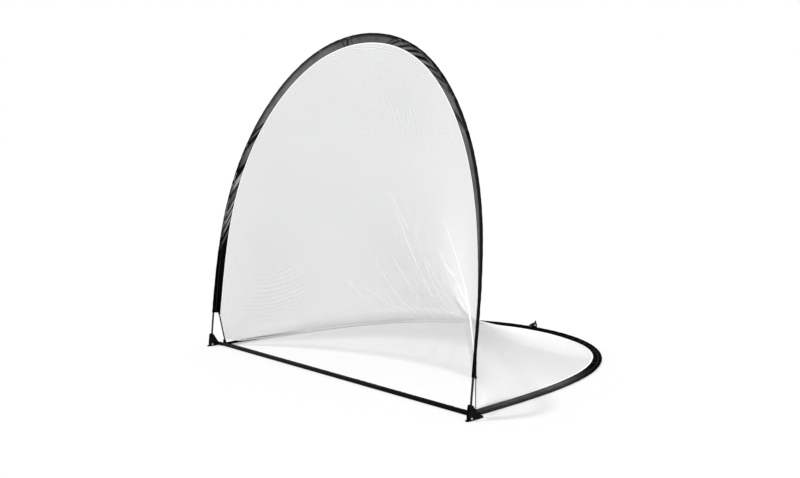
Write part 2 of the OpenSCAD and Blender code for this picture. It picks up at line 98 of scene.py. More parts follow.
def bowAt(angle):
    c, s = np.cos(angle), np.clip(np.sin(angle), 0, None)
    return np.stack([-bowHalf * c * (1 + goal["bowBelly"] * s**2 - goal["bowEase"] * s**4),
                     goal["bowStart"] + (goal["depth"] - goal["bowStart"]) * s ** goal["bowSquare"],
                     np.full_like(s, bowHeight)], -1)


def runLengths(points, axis=0):
    # distance covered at each point of a row of points
    return np.insert(np.cumsum(np.linalg.norm(np.diff(points, axis=axis), axis=-1), axis), 0, 0, axis)


def aroundLengths(outline):
    return runLengths(np.concatenate([outline, outline[:1]]))


def pointsAt(curve, along):
    return np.stack([np.interp(along, curve["along"], curve["points"][:, i]) for i in range(3)], -1)


def readAt(pairs, places):
    # the values at some places, from a list of (place, value)
    return np.interp(places, *zip(*pairs))


def unit(v):
    return v / np.linalg.norm(v, axis=-1, keepdims=True)


def turned(first, second, angle):
    return np.cos(angle) * first + np.sin(angle) * second


def framesAt(curve, along, reference, step=0.004):
    # the place of each station, with its directions towards the net, across and ahead
    ahead = unit(pointsAt(curve, np.minimum(along + step, curve["along"][-1]))
                 - pointsAt(curve, np.maximum(along - step, 0)))
    inward = unit(np.cross(reference, ahead))
    return pointsAt(curve, along), inward, np.cross(ahead, inward), ahead


def frameAt(curve, along, reference):
    return [found[0] for found in framesAt(curve, np.array([along]), reference)]


slowAngles = math.pi / 2 * (1 - np.cos(np.linspace(0, math.pi, 2401)))
archCurve, bowCurve = ({"points": points, "along": runLengths(points)}
                       for points in (archAt(slowAngles), bowAt(slowAngles)))
archLength, bowLength = archCurve["along"][-1], bowCurve["along"][-1]
archReference, bowReference = np.array([0, 1, 0]), np.array([0, 0, -1])
sleeveFoot = float(pointsAt(archCurve, np.array([band["barePole"]]))[0, 2])


def bandTurn(height):
    share = np.clip(1 - (height - sleeveFoot) / (goal["height"] - sleeveFoot), 0, 1)
    return band["turn"] * share ** band["turnPower"]


def bowTiltAt(along):
    return np.radians(readAt(band["bowTilt"], along))


def smoothNoise(rows, cols, seed, waves=28):
    # even noise of about -1 to 1 over two coordinates, each given in noise lengths
    random = np.random.default_rng(seed)
    total = np.zeros(np.broadcast(rows, cols).shape)
    for _ in range(waves):
        angle, size = random.uniform(0, math.pi), random.uniform(0.5, 1.4)
        start = random.uniform(0, 2 * math.pi)
        total += np.cos(2 * math.pi * size * (rows * math.cos(angle) + cols * math.sin(angle)) + start)
    return total / waves**0.5


def meshPiece(name, points, faces, uv=None, smooth=True):
    mesh = bpy.data.meshes.new(name)
    mesh.from_pydata(np.asarray(points, float).reshape(-1, 3).tolist(), [], faces)
    if uv is not None:
        layer = mesh.uv_layers.new(name="clothMetres")
        layer.data.foreach_set("uv", np.asarray(uv, np.float32).ravel())
    mesh.polygons.foreach_set("use_smooth", [smooth] * len(mesh.polygons))
    mesh.update()
    piece = bpy.data.objects.new(name, mesh)
    bpy.context.scene.collection.objects.link(piece)
    return piece


def pointValues(piece, name, values):
    tag = piece.data.attributes.new(name, "FLOAT", "POINT")
    tag.data.foreach_set("value", np.asarray(values, np.float32).ravel())


def gridFaces(rows, cols, closed, first=0, flip=False):
    i, j = np.meshgrid(np.arange(rows - 1), np.arange(cols if closed else cols - 1), indexing="ij")
    k = (j + 1) % cols
    order = (i * cols + j, (i + 1) * cols + j, (i + 1) * cols + k, i * cols + k)
    if not flip:
        order = order[::-1]
    return (np.stack(order, -1).reshape(-1, 4) + first).tolist(), (i.ravel(), j.ravel())


def gridUv(along, across, cells, flip=False):
    # along: a value for each row; across: a value for each column, and one more where the grid closes
    i, j = cells
    corners = [(i, j), (i + 1, j), (i + 1, j + 1), (i, j + 1)]
    if not flip:
        corners = corners[::-1]
    return np.stack([np.stack([along[r], across[c]], -1) for r, c in corners], 1).reshape(-1, 2)


def tubePiece(name, rings, bore, boreRows, along, girth):
    # closed skin: rings outside, and a bore of as many points through fewer rows
    rows, cols = rings.shape[:2]
    outer, cells = gridFaces(rows, cols, True)
    inner, innerCells = gridFaces(len(boreRows), cols, True, rows * cols, True)
    uv = [gridUv(along, girth, cells), gridUv(along[boreRows], girth, innerCells, True)]
    lips = []
    for row, boreRow, flip in ((0, 0, True), (rows - 1, len(boreRows) - 1, False)):
        j = np.arange(cols)
        k = (j + 1) % cols
        a, b = row * cols + j, row * cols + k
        c, d = rows * cols + boreRow * cols + k, rows * cols + boreRow * cols + j
        lips += np.stack((d, c, b, a) if flip else (a, b, c, d), -1).tolist()
        uv.append(np.repeat(np.stack([np.full(cols, along[row]), girth[:-1]], -1), 4, 0))
    points = np.concatenate([rings.reshape(-1, 3), bore[boreRows].reshape(-1, 3)])
    return meshPiece(name, points, outer + inner + lips, np.concatenate(uv))


def someRows(count, step):
    # every row whose number is a multiple of the step, and the last
    return np.unique(np.append(np.arange(0, count, step), count - 1))


def roundTube(name, curve, reference, start, end, outer, inner, sides=20, step=0.02):
    along = np.linspace(start, end, max(3, int((end - start) / step)))
    place, inward, across, _ = framesAt(curve, along, reference)
    angle = 2 * math.pi * np.arange(sides) / sides
    ring = turned(inward[:, None], across[:, None], angle[None, :, None])
    girth = outer * 2 * math.pi * np.arange(sides + 1) / sides
    return tubePiece(name, place[:, None] + outer * ring, place[:, None] + inner * ring,
                     np.arange(len(along)), along, girth)


def colour(code):
    parts = [int(code[i:i + 2], 16) / 255 for i in (1, 3, 5)]
    return (*[p / 12.92 if p <= 0.04045 else ((p + 0.055) / 1.055) ** 2.4 for p in parts], 1)


def addNode(tree, kind, values=None, links=None, take=0, stops=(), **settings):
    # adds a shader node with its settings, values, links and colour stops, and gives back the output that
    # is asked for, or all of them
    made = tree.nodes.new("ShaderNode" + kind)
    for name, value in settings.items():
        setattr(made, name, value)
    for name, value in (values or {}).items():
        made.inputs[name].default_value = value
    for name, source in (links or {}).items():
        tree.links.new(source, made.inputs[name])
    for number, (place, code) in enumerate(stops):
        made.color_ramp.elements[number].position = place
        made.color_ramp.elements[number].color = colour(code)
    return made.outputs if take == "all" or not len(made.outputs) else made.outputs[take]


def makeFinish(name, build, *choices):
    # a new material, with the nodes that build adds to it
    material = bpy.data.materials.new(name)
    material.use_nodes = True
    material.node_tree.nodes.clear()
    add = partial(addNode, material.node_tree)
    add("OutputMaterial", links={"Surface": build(add, *choices)})
    return material


def threads(add, source, period):
    # 0 to 1 and back over each period, in metres
    swing = add("Math", {1: 2 * math.pi / period}, {0: source}, operation="MULTIPLY")
    swing = add("Math", links={0: swing}, operation="SINE")
    return add("Math", {1: 0.5, 2: 0.5}, {0: swing}, operation="MULTIPLY_ADD")


# the grey here is painted sheen, laid over the cloth's own black
sleeveCloth = {"clothBlack": "#060607", "litGrey": "#bcbcbe", "thread": 0.0016, "roughness": (0.54, 0.74),
               "sheen": 0.004, "lightGain": 0.2, "stitch": "#58585c", "stitchLength": 0.004,
               "stitchWidth": (0.0004, 0.0009)}


def wovenPolyester(add, seams):
    # Calendered polyester pack cloth, plain weave, black. Painted sheen turns it grey where a point value says
    # the cloth catches the light, and it stays black where the cloth faces away.
    # The 0.4 mm threads are drawn four times as coarse, or they wouldn't show.
    place = add("UVMap", uv_map="clothMetres")
    split = add("SeparateXYZ", links={0: place}, take="all")
    warp, weft = (threads(add, way, sleeveCloth["thread"]) for way in (split[0], split[1]))
    weave = add("Math", links={0: warp, 1: weft}, operation="MULTIPLY")
    # 70 mm patches from handling in the roughness, which also make the painted sheen uneven
    cloud = add("TexNoise", {"Scale": 14, "Detail": 4, "Roughness": 0.6}, {"Vector": place})
    # painted light: a point value that turns the black cloth grey where it catches the light, and leaves it
    # black where it faces away or lies in a crease's shade
    paintedLight = add("Attribute", take="Fac", attribute_name="paintedLight")
    patchy = add("MapRange", {1: 0.3, 2: 0.7, 3: 0.72, 4: 1.15}, {0: cloud})
    share = add("Math", links={0: paintedLight, 1: patchy}, operation="MULTIPLY")
    share = add("Math", {1: sleeveCloth["lightGain"]}, {0: share}, operation="MULTIPLY")
    tone = add("ValToRGB", links={0: share}, stops=[(0, sleeveCloth["clothBlack"]), (1, sleeveCloth["litGrey"])])
    lit = add("MapRange", {3: 0.82, 4: 1.12}, {0: weave})
    tone = add("Mix", {0: 1}, {6: tone, 7: lit}, take=2, data_type="RGBA", blend_type="MULTIPLY")
    height = weave
    narrow, broad = sleeveCloth["stitchWidth"]
    for seam in seams:
        # lockstitch: 4 mm stitches of thick thread
        off = add("Math", {1: seam}, {0: split[1]}, operation="SUBTRACT")
        off = add("Math", links={0: off}, operation="ABSOLUTE")
        line = add("MapRange", {1: narrow, 2: broad, 3: 1, 4: 0}, {0: off})
        stitch = threads(add, split[0], sleeveCloth["stitchLength"])
        stitch = add("Math", links={0: line, 1: stitch}, operation="MULTIPLY")
        tone = add("Mix", {7: colour(sleeveCloth["stitch"])}, {0: stitch, 6: tone}, take=2, data_type="RGBA")
        height = add("Math", {1: 1.5}, {0: stitch, 2: height}, operation="MULTIPLY_ADD")
    bump = add("Bump", {"Strength": 0.35, "Distance": 0.0004}, {"Height": height})
    smooth, dull = sleeveCloth["roughness"]
    rough = add("MapRange", {3: smooth, 4: dull}, {0: cloud})
    return add("BsdfPrincipled",
               {"Sheen Weight": sleeveCloth["sheen"], "Sheen Roughness": 0.5, "Specular IOR Level": 0},
               {"Base Color": tone, "Roughness": rough, "Normal": bump})


# the open yarn's grey is painted shade on white yarn among its cells; the drawn yarn is near white
netYarn = {"cell": 0.0046, "wale": 0.0184, "waleGain": 0.03, "rib": 0.027, "least": 0.06, "rim": 0.05,
           "openness": (0.95, 0.06), "through": 0.22, "open": "#b6b7b9", "drawn": "#fdfdfc"}


def knittedMesh(add):
    # Knitted polyester mesh: white yarn round small open cells, so it reads as a veil. The yarn is painted grey
    # for the shade among the cells, and painted lighter where it is gathered, partly for the light its folds
    # catch.
    # The cells are drawn at 4.6 mm, or their pattern wouldn't show across a room.
    place = add("UVMap", uv_map="clothMetres")
    split = add("SeparateXYZ", links={0: place}, take="all")
    drawn, ribPlace, ribbed, paintedLit = (add("Attribute", take="Fac", attribute_name=tag)
                                     for tag in ("drawnShut", "ribPlace", "ribbed", "paintedLit"))
    yarns, wales = ([threads(add, way, netYarn[size]) for way in (split[0], split[1])]
                    for size in ("cell", "wale"))
    top = add("Math", links={0: yarns[0], 1: yarns[1]}, operation="MAXIMUM")
    # every fourth wale is a little fuller, and faint ribs show where the knit was stretched in finishing
    wales = add("Math", links={0: wales[0], 1: wales[1]}, operation="ADD")
    shut = add("Math", {1: netYarn["waleGain"]}, {0: wales, 2: drawn}, operation="MULTIPLY_ADD")
    ribs = threads(add, ribPlace, netYarn["rib"])
    shut = add("Math", links={0: ribs, 1: ribbed, 2: shut}, operation="MULTIPLY_ADD")
    shut = add("Math", {1: netYarn["least"]}, {0: shut}, operation="ADD")
    loose, tight = netYarn["openness"]
    edge = add("MapRange", {1: 0, 2: 1.1, 3: loose, 4: tight}, {0: shut})
    low, high = (add("Math", {1: netYarn["rim"]}, {0: edge}, operation=way) for way in ("SUBTRACT", "ADD"))
    mask = add("MapRange", {3: 0, 4: 1}, {0: top, 1: low, 2: high})
    # painted light: the yarn's tone rises with how shut the knit is drawn and with its painted paleness
    white = add("Math", links={0: drawn, 1: paintedLit}, operation="ADD")
    tone = add("ValToRGB", links={0: white}, stops=[(0.15, netYarn["open"]), (0.9, netYarn["drawn"])])
    cloud = add("TexNoise", {"Scale": 3, "Detail": 3}, {"Vector": place})  # 0.3 m patches
    uneven = add("MapRange", {1: 0.3, 2: 0.7, 3: 0.95, 4: 1.03}, {0: cloud})
    tone = add("Mix", {0: 1}, {6: tone, 7: uneven}, take=2, data_type="RGBA", blend_type="MULTIPLY")
    bump = add("Bump", {"Strength": 0.2, "Distance": 0.0003}, {"Height": top})
    yarn = add("BsdfPrincipled", {"Roughness": 0.75, "Sheen Weight": 0.05, "Specular IOR Level": 0.1},
               {"Base Color": tone, "Normal": bump})
    lit = add("BsdfTranslucent", links={"Color": tone})
    body = add("MixShader", {0: netYarn["through"]}, {1: yarn, 2: lit})
    return add("MixShader", links={0: mask, 1: add("BsdfTransparent"), 2: body})


def mouldedNylon(add):
    # Glass-filled nylon from a spark-eroded mould: near black, with a fine matt grain.
    place = add("TexCoord", take="Object")
    grain = add("TexNoise", {"Scale": 1400, "Detail": 2}, {"Vector": place})  # 0.7 mm
    cloud = add("TexNoise", {"Scale": 60, "Detail": 3}, {"Vector": place})
    base = add("ValToRGB", links={0: cloud}, stops=[(0.35, "#0a0a0b"), (0.75, "#161618")])
    rough = add("MapRange", {3: 0.42, 4: 0.62}, {0: cloud})
    bump = add("Bump", {"Strength": 0.25, "Distance": 0.0002}, {"Height": grain})
    return add("BsdfPrincipled", {"Specular IOR Level": 0.03},
               {"Base Color": base, "Roughness": rough, "Normal": bump})


def pultrudedRod(add):
    # Pultruded glass fibre with a black gelcoat: a soft gloss, with faint streaks along the fibres.
    place = add("UVMap", uv_map="clothMetres")
    place = add("Mapping", {"Scale": (6, 900, 1)}, {"Vector": place})  # 1 mm streaks
    streak = add("TexNoise", {"Scale": 1, "Detail": 3}, {"Vector": place})
    base = add("ValToRGB", links={0: streak}, stops=[(0.3, "#0f0f11"), (0.75, "#1f1f22")])
    rough = add("MapRange", {3: 0.3, 4: 0.46}, {0: streak})
    bump = add("Bump", {"Strength": 0.15, "Distance": 0.0001}, {"Height": streak})
    return add("BsdfPrincipled", {"Specular IOR Level": 0.22},
               {"Base Color": base, "Roughness": rough, "Normal": bump})


def drawnSteel(add, grain):
    # Zinc-plated steel: a cool grey metal with fine lines from the tool.
    place = add("TexCoord", take="Object")
    place = add("Mapping", {"Scale": grain}, {"Vector": place})
    line = add("TexNoise", {"Scale": 1, "Detail": 4}, {"Vector": place})
    base = add("ValToRGB", links={0: line}, stops=[(0.3, "#a9adb1"), (0.7, "#c9ccd0")])
    rough = add("MapRange", {3: 0.24, 4: 0.4}, {0: line})
    return add("BsdfPrincipled", {"Metallic": 1}, {"Base Color": base, "Roughness": rough})


def powderCoat(add):
    # Powder-coated steel: black satin with a slight orange peel.
    place = add("TexCoord", take="Object")
    peel = add("TexNoise", {"Scale": 500, "Detail": 1}, {"Vector": place})  # 2 mm
    base = add("ValToRGB", links={0: peel}, stops=[(0.2, "#161618"), (0.8, "#1d1d20")])
    bump = add("Bump", {"Strength": 0.2, "Distance": 0.0002}, {"Height": peel})
    return add("BsdfPrincipled", {"Roughness": 0.38, "Specular IOR Level": 0.3},
               {"Base Color": base, "Normal": bump})


def nylonWebbing(add):
    # Woven nylon webbing: black ribs across the tape every 1.4 mm, with dull tops.
    place = add("UVMap", uv_map="clothMetres")
    split = add("SeparateXYZ", links={0: place}, take="all")
    ribs, picks = threads(add, split[0], 0.0014), threads(add, split[1], 0.001)
    weave = add("Math", links={0: ribs, 1: picks}, operation="MULTIPLY")
    base = add("ValToRGB", links={0: weave}, stops=[(0, "#0a0a0b"), (1, "#1d1d1f")])
    bump = add("Bump", {"Strength": 0.5, "Distance": 0.0004}, {"Height": weave})
    return add("BsdfPrincipled", {"Roughness": 0.6, "Sheen Weight": 0.06, "Specular IOR Level": 0.12},
               {"Base Color": base, "Normal": bump})


def braidedCover(add):
    # Shock cord: off-white braided cover over rubber, a herringbone of fine yarns 1.6 mm apart.
    place = add("UVMap", uv_map="clothMetres")
    split = add("SeparateXYZ", links={0: place}, take="all")
    lays = [add("Math", links={0: split[0], 1: split[1]}, operation=way) for way in ("ADD", "SUBTRACT")]
    left, right = (threads(add, lay, 0.0016) for lay in lays)
    braid = add("Math", links={0: left, 1: right}, operation="MULTIPLY")
    base = add("ValToRGB", links={0: braid}, stops=[(0, "#8f8f8c"), (1, "#e4e4e0")])
    bump = add("Bump", {"Strength": 0.5, "Distance": 0.0003}, {"Height": braid})
    return add("BsdfPrincipled", {"Roughness": 0.8, "Sheen Weight": 0.2},
               {"Base Color": base, "Normal": bump})


rodFinish = makeFinish("pultruded glass fibre rod", pultrudedRod)
ferruleFinish = makeFinish("drawn steel ferrule", drawnSteel, (400, 400, 40))
pinFinish = makeFinish("turned steel pin", drawnSteel, (40, 900, 900))
nylonFinish = makeFinish("moulded glass-filled nylon", mouldedNylon)
coatFinish = makeFinish("powder-coated steel", powderCoat)
webbingFinish = makeFinish("woven nylon webbing", nylonWebbing)
cordFinish = makeFinish("braided cord cover", braidedCover)
netFinish = makeFinish("knitted polyester mesh", knittedMesh)
print("materials made")


def dress(piece, material, slot, body, *replaced):
    piece.data.materials.clear()
    piece.data.materials.append(material)
    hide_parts(*replaced)
    if body:
        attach(piece, body)
    return piece


# Poles, ferrules and shock cords
for run, curve, reference, body, trim in (("arch", archCurve, archReference, "arch", pole["cupFloor"]),
                                          ("bow", bowCurve, bowReference, "base", 0.0)):
    start, length = trim, curve["along"][-1] - 2 * trim
    section = length / pole["sections"]
    for number in range(pole["sections"]):
        low = start + number * section + (pole["jointGap"] / 2 if number else 0)
        high = start + (number + 1) * section - (pole["jointGap"] / 2 if number < pole["sections"] - 1 else 0)
        rod = roundTube(f"{run}_rod_{number + 1}", curve, reference, low, high, pole["radius"], pole["bore"])
        dress(rod, rodFinish, "pole_fibreglass", body, f"{run}_pole_{number + 1}")
    for number in range(1, pole["sections"]):
        middle = start + number * section
        ring = roundTube(f"{run}_ferrule_{number}", curve, reference, middle - pole["ferrule"] / 2,
                         middle + pole["ferrule"] / 2, ferruleRadius, pole["radius"] + pole["pushGap"],
                         sides=24, step=0.012)
        dress(ring, ferruleFinish, "ferrule_steel", body, f"{run}_ferrules")
    elastic = roundTube(f"{run}_elastic", curve, reference, start, start + length, pole["cord"],
                        pole["cord"] * 0.2, sides=12, step=0.03)
    dress(elastic, cordFinish, "shock_cord", body, f"{run}_shock_cord")
print("poles made")

# Sleeves, in metres. Each list starts with the distance along the sleeve, and a slant is how far a line
# shifts along the sleeve as it crosses the band.
archCloth = {
    # (distance, slant, width, height)
    "creases": [
        (0.7, 0.13, 0.022, 0.0026), (0.8, 0.13, 0.024, 0.0036), (0.865, 0.13, 0.022, 0.0042),
        (0.925, 0.13, 0.024, 0.0046), (0.985, 0.13, 0.02, 0.0042), (1.035, 0.13, 0.024, 0.0048),
        (1.1, 0.13, 0.022, 0.0044), (1.155, 0.12, 0.022, 0.004), (1.215, 0.12, 0.026, 0.0026),
        (1.29, 0.13, 0.026, 0.004), (1.37, 0.13, 0.03, 0.0036), (1.46, 0.11, 0.034, 0.0024),
        (1.6, 0.1, 0.03, 0.0016), (2.19, 0.018, 0.016, 0.003), (2.225, -0.012, 0.014, 0.0036),
        (2.26, 0.016, 0.016, 0.003), (2.64, -0.2, 0.06, 0.003), (2.71, -0.22, 0.06, 0.004),
        (2.78, -0.22, 0.055, 0.0036), (2.85, -0.22, 0.06, 0.0042), (2.94, -0.22, 0.06, 0.0036),
        (3.03, -0.2, 0.06, 0.0034), (3.14, -0.18, 0.06, 0.0026), (3.34, -0.15, 0.05, 0.003),
    ],
    "ripple": 0.0007,
    "fine": [(0.64, 1.78), (2.05, 2.34), (2.5, 3.48)],  # stretches with close rows
    # painted sheen along the sleeve, grey where the cloth catches the light: (distance, share)
    "paintedLight": [(0.19, 0), (0.66, 0.02), (0.78, 0.08), (0.9, 0.14), (1.06, 0.22), (1.12, 1.25),
               (1.24, 1.45), (2.05, 1.55), (2.15, 1.1), (2.25, 1.2), (2.62, 1.2), (3.05, 1.2), (3.3, 1.2),
               (4.2, 1.1), (4.55, 0.3)],
    # painted highlights on the crests of the creases and painted shade beside them, as paler and blacker
    # strokes: (distance, slant, half width, change)
    "shadingStrokes": [
        (0.645, 0.13, 0.0028, 1.4), (0.72, 0.13, 0.0036, 3.4), (0.775, 0.13, 0.0038, 4.2),
        (0.83, 0.13, 0.0038, 4.2), (0.9, 0.12, 0.01, 0.8), (0.985, 0.12, 0.0046, 6),
        (1.022, 0.12, 0.0038, 5), (1.075, 0.12, 0.01, -1.4), (1.28, 0.12, 0.012, -1.8),
        (1.315, 0.12, 0.0032, 0.8), (1.355, 0.12, 0.0065, -1.6), (2.19, 0.02, 0.006, -0.8),
        (2.225, -0.01, 0.008, -1.1), (2.26, 0.02, 0.004, -0.6), (2.58, -0.08, 0.004, -0.9),
        (2.62, -0.1, 0.0044, -1.1), (2.66, -0.11, 0.003, 0.7), (2.7, -0.12, 0.005, -1.3),
        (2.74, -0.12, 0.0028, 0.9), (2.78, -0.13, 0.006, -1.5), (2.82, -0.14, 0.003, 0.8),
        (2.87, -0.15, 0.007, -1.5), (2.93, -0.16, 0.0028, 0.7), (2.97, -0.16, 0.005, -1.2),
        (3.05, -0.16, 0.005, -1.1), (3.13, -0.16, 0.004, -0.8), (3.34, -0.15, 0.008, -1),
        (3.4, -0.15, 0.003, 0.5),
    ],
    "lightAcross": [0.1, 0.45, 1, 1, 0.6],  # painted shade across the band: how much of the painted sheen each part takes, from the pole's centre to the net's seam, at the listed places
}
bowCloth = {
    "creases": [
        (2.5, 0.01, 0.02, 0.0016), (2.58, 0.014, 0.018, 0.0022), (2.65, 0.01, 0.018, 0.0026),
        (2.71, 0.012, 0.016, 0.0028), (2.765, 0.01, 0.016, 0.003), (2.82, 0.008, 0.016, 0.0032),
        (2.87, 0.01, 0.016, 0.003), (2.92, 0.012, 0.016, 0.0032), (2.975, 0.01, 0.016, 0.003),
        (3.03, 0.014, 0.016, 0.0032), (3.09, 0.01, 0.018, 0.003), (3.15, 0.012, 0.018, 0.0028),
        (3.22, 0.01, 0.02, 0.0024), (3.31, 0.01, 0.022, 0.0018), (1.3, 0.01, 0.02, 0.0014),
        (1.7, -0.012, 0.02, 0.0016), (3.75, 0.03, 0.03, 0.0014),
    ],
    "ripple": 0.0006,
    "fine": [(2.44, 3.46)],
    # painted sheen along the bow, grey only along the right-hand stretch where the band catches the light:
    # (distance, share)
    "paintedLight": [(0, 0), (3.4, 0), (3.55, 0.15), (3.8, 0.75), (4.3, 0.75), (4.5, 0.55)],
    # painted highlights on the crests of the creases: (distance, slant, half width, change)
    "shadingStrokes": [
        (2.6, 0.014, 0.0022, 0.3), (2.68, 0.01, 0.0022, 0.35), (2.75, 0.012, 0.0022, 0.45),
        (2.81, 0.008, 0.0022, 0.5), (2.86, 0.01, 0.0022, 0.45), (2.92, 0.012, 0.0022, 0.55),
        (2.98, 0.01, 0.0022, 0.45), (3.04, 0.014, 0.0022, 0.5), (3.11, 0.01, 0.0022, 0.4),
        (3.18, 0.012, 0.0022, 0.4), (3.27, 0.01, 0.0022, 0.3), (3.42, 0.01, 0.0026, 0.2),
    ],
    # painted shade across the band: how much of the painted sheen each part takes
    "lightAcross": [0.5, 0.9, 1, 1, 0.3],
}
stitchLines = {"pocket": 0.0115, "hem": 0.0385}  # from the pole's centre
sleeveForm = {
    "stations": [1.0, 0.985, 0.955, 0.92, 0.87, 0.8, 0.72, 0.64, 0.56, 0.48, 0.4, 0.33, 0.28],
    # (distance from the pole's centre, thickness as a share of the band's)
    "thickness": [(0, 1.3), (0.0105, 1.2), (stitchLines["pocket"], 0.75), (0.013, 1.0), (0.03, 0.9),
                  (0.0375, 0.95), (stitchLines["hem"], 0.6), (0.0395, 0.95), (bandReach, 0.45)],
    "pocketOpens": 50, "pocketSides": 17,
    # unevenness of the pocket: (share, length along the sleeve, length across it, up to this far across)
    "pocketSwell": (0.05, 0.05, 0.02, 0.009),
    # ripples: (share, length along the sleeve, length across it)
    "ripples": [(1, 0.06, 0.05), (-0.6, 0.022, 0.03)],
    # how freely the cloth lifts: (distance from the pole's centre, share)
    "liftAcross": [(-pocketOut, 0.1), (0, 0.3), (0.01, 0.8), (0.03, 1), (bandReach, 0.25)],
    "lightPlaces": [0, pocketOut, 0.014, 0.036, bandReach],
    "row": 0.008, "fineRow": 0.0022, "boreEvery": 6,
    "nearEnd": 0.03, "mostLight": 5,
    "slantFrom": 0.55,  # the share across the band where the distance of a slanting line is measured
    "farSide": 0.3, "strokeEdge": 2.5,  # a crease's far side is narrower, and a stroke has a fairly sharp edge
    "boreOpens": 4,
}


def bandSection():
    # outline of a sleeve, from the net's seam along the back, round the pocket and home along the front,
    # as (towards the net, across), how far each point is from the pocket, and the bore's matching points
    w = bandReach * np.array(sleeveForm["stations"])
    half = band["thick"] / 2 * readAt(sleeveForm["thickness"], w)
    opens = sleeveForm["pocketOpens"]
    arc = np.radians(np.linspace(opens, 360 - opens, sleeveForm["pocketSides"]))
    outline = np.concatenate([np.stack([w, half], -1), pocketOut * np.stack([np.cos(arc), np.sin(arc)], -1),
                              np.stack([w, -half], -1)[::-1]])
    beyond = np.concatenate([w - pocketOut, np.zeros(len(arc)), (w - pocketOut)[::-1]])
    turn = np.radians(np.linspace(sleeveForm["boreOpens"], 360 - sleeveForm["boreOpens"], len(outline)))
    return outline, beyond, pocketIn * np.stack([np.cos(turn), np.sin(turn)], -1)


def pastLine(line, along, across):
    # how far a point lies beyond a slanting line over the band
    return along - line[0] - line[1] * (across / bandReach - sleeveForm["slantFrom"])


def creaseHeight(creases, along, across):
    total = np.zeros(np.broadcast(along, across).shape)
    for crease in creases:
        off, (width, height) = pastLine(crease, along, across), crease[2:]
        total += height * np.where(off < 0, np.exp(off / width), np.exp(-off / (width * sleeveForm["farSide"])))
    return total


def creaseShading(shadingStrokes, along, across):
    # painted highlights along the crests of the folded cloth and painted shade beside them: soft strokes across
    # the band
    total = np.zeros(np.broadcast(along, across).shape)
    for stroke in shadingStrokes:
        off, (width, tone) = pastLine(stroke, along, across), stroke[2:]
        steep = 1 / math.hypot(1, stroke[1] / bandReach)
        total += tone * np.exp(-np.abs(off * steep / width) ** sleeveForm["strokeEdge"])
    return total


def unevenRows(start, end, fine):
    marks = [start]
    while marks[-1] < end:
        close = any(low <= marks[-1] <= high for low, high in fine)
        marks.append(marks[-1] + sleeveForm["fineRow" if close else "row"])
    marks[-1] = end
    return np.array(marks)


def makeSleeve(name, curve, reference, start, end, cloth, turning, seed, mirror=1):
    along = unevenRows(start, end, cloth["fine"])
    place, inward, across, _ = framesAt(curve, along, reference)
    if turning:
        turn = bandTurn(place[:, 2])[:, None]
        inward, across = turned(inward, across, turn), turned(across, inward, -turn)
    outline, beyond, bore = bandSection()
    tilt = 0 if turning else np.tan(bowTiltAt(along))[:, None]
    w, h = outline[:, 0][None], (outline[:, 1][None] + tilt * beyond) * mirror
    lift = creaseHeight(cloth["creases"], along[:, None], w)
    for number, (share, far, wide) in enumerate(sleeveForm["ripples"]):
        lift = lift + cloth["ripple"] * share * smoothNoise(along[:, None] / far, w / wide, seed + number)
    lift = lift * readAt(sleeveForm["liftAcross"], w)
    near = sleeveForm["nearEnd"]
    lift = lift * np.interp(along, [start, start + near, end - near, end], [0, 1, 1, 0])[:, None]
    swell, far, wide, limit = sleeveForm["pocketSwell"]
    swell = 1 + swell * smoothNoise(along[:, None] / far, w / wide, seed + 2) * (w < limit)
    rings = (place[:, None] + (w * swell)[..., None] * inward[:, None]
             + (h * swell + lift * mirror)[..., None] * across[:, None])
    if not turning:
        rings[..., 2] = np.maximum(rings[..., 2], 0)  # it lies on the ground
    inner = (place[:, None] + bore[None, :, 0, None] * inward[:, None]
             + bore[None, :, 1, None] * mirror * across[:, None])
    # painted light: the sheen along the sleeve, with painted highlights and shade at the creases, and less of
    # it where the band turns away
    lightShare = readAt(cloth["paintedLight"], along)[:, None] + creaseShading(cloth["shadingStrokes"], along[:, None], w)
    lightShare = np.clip(lightShare, 0, sleeveForm["mostLight"])
    lightShare = lightShare * np.interp(w, sleeveForm["lightPlaces"], cloth["lightAcross"])
    if mirror < 0:
        rings, inner, lightShare = rings[:, ::-1], inner[:, ::-1], lightShare[:, ::-1]
    girth = aroundLengths(outline)
    boreRows = someRows(len(along), sleeveForm["boreEvery"])
    piece = tubePiece(name, rings, inner, boreRows, along, girth)
    pointValues(piece, "paintedLight", np.concatenate([lightShare.ravel(), lightShare[boreRows].ravel()]))
    return piece, float(girth[-1])


lineFrom = [bandReach - stitchLines["hem"], bandReach - stitchLines["pocket"]]
archSleeve, sleeveGirth = makeSleeve("arch_cloth", archCurve, archReference, band["barePole"],
                                     archLength - band["barePole"], archCloth, True, 11)
bowSleeve, _ = makeSleeve("bow_cloth", bowCurve, bowReference, band["bowSocket"],
                          bowLength - band["bowSocket"], bowCloth, False, 23, -1)
sleeveFinish = makeFinish("woven polyester sleeve cloth", wovenPolyester,
                          lineFrom + [sleeveGirth - x for x in lineFrom])
dress(archSleeve, sleeveFinish, "sleeve_cloth", "arch", "arch_sleeve")
dress(bowSleeve, sleeveFinish, "sleeve_cloth", "base", "bow_sleeve")
print("sleeves made")

# Crossbar sleeve
# the crossbar's painted sheen runs from the left end to the right, grey where the cloth catches the light
bar = {"radius": 0.008, "wall": 0.0009, "gap": 0.00045, "band": 0.066, "inset": 0.046, "paintedLight": (0.85, 0.12),
       # slack of the cloth: (height, length along it, length across it)
       "slack": [(0.0006, 0.09, 0.05), (0.0004, 0.03, 0.04)],
       "slackAbove": [(0, 0), (0.0015, 0), (0.0022, 1)],  # (height above the ground, share of the slack)
       "nearEnd": 0.03, "endSlack": 0.2,
       "row": 0.005, "boreEvery": 8, "stitches": [0.0065, 0.044], "patternFrom": 5}
barHeight = bar["radius"] + bar["gap"] + bar["wall"]
barLength = goal["width"] - 2 * bar["inset"] - 2 * band["gap"]


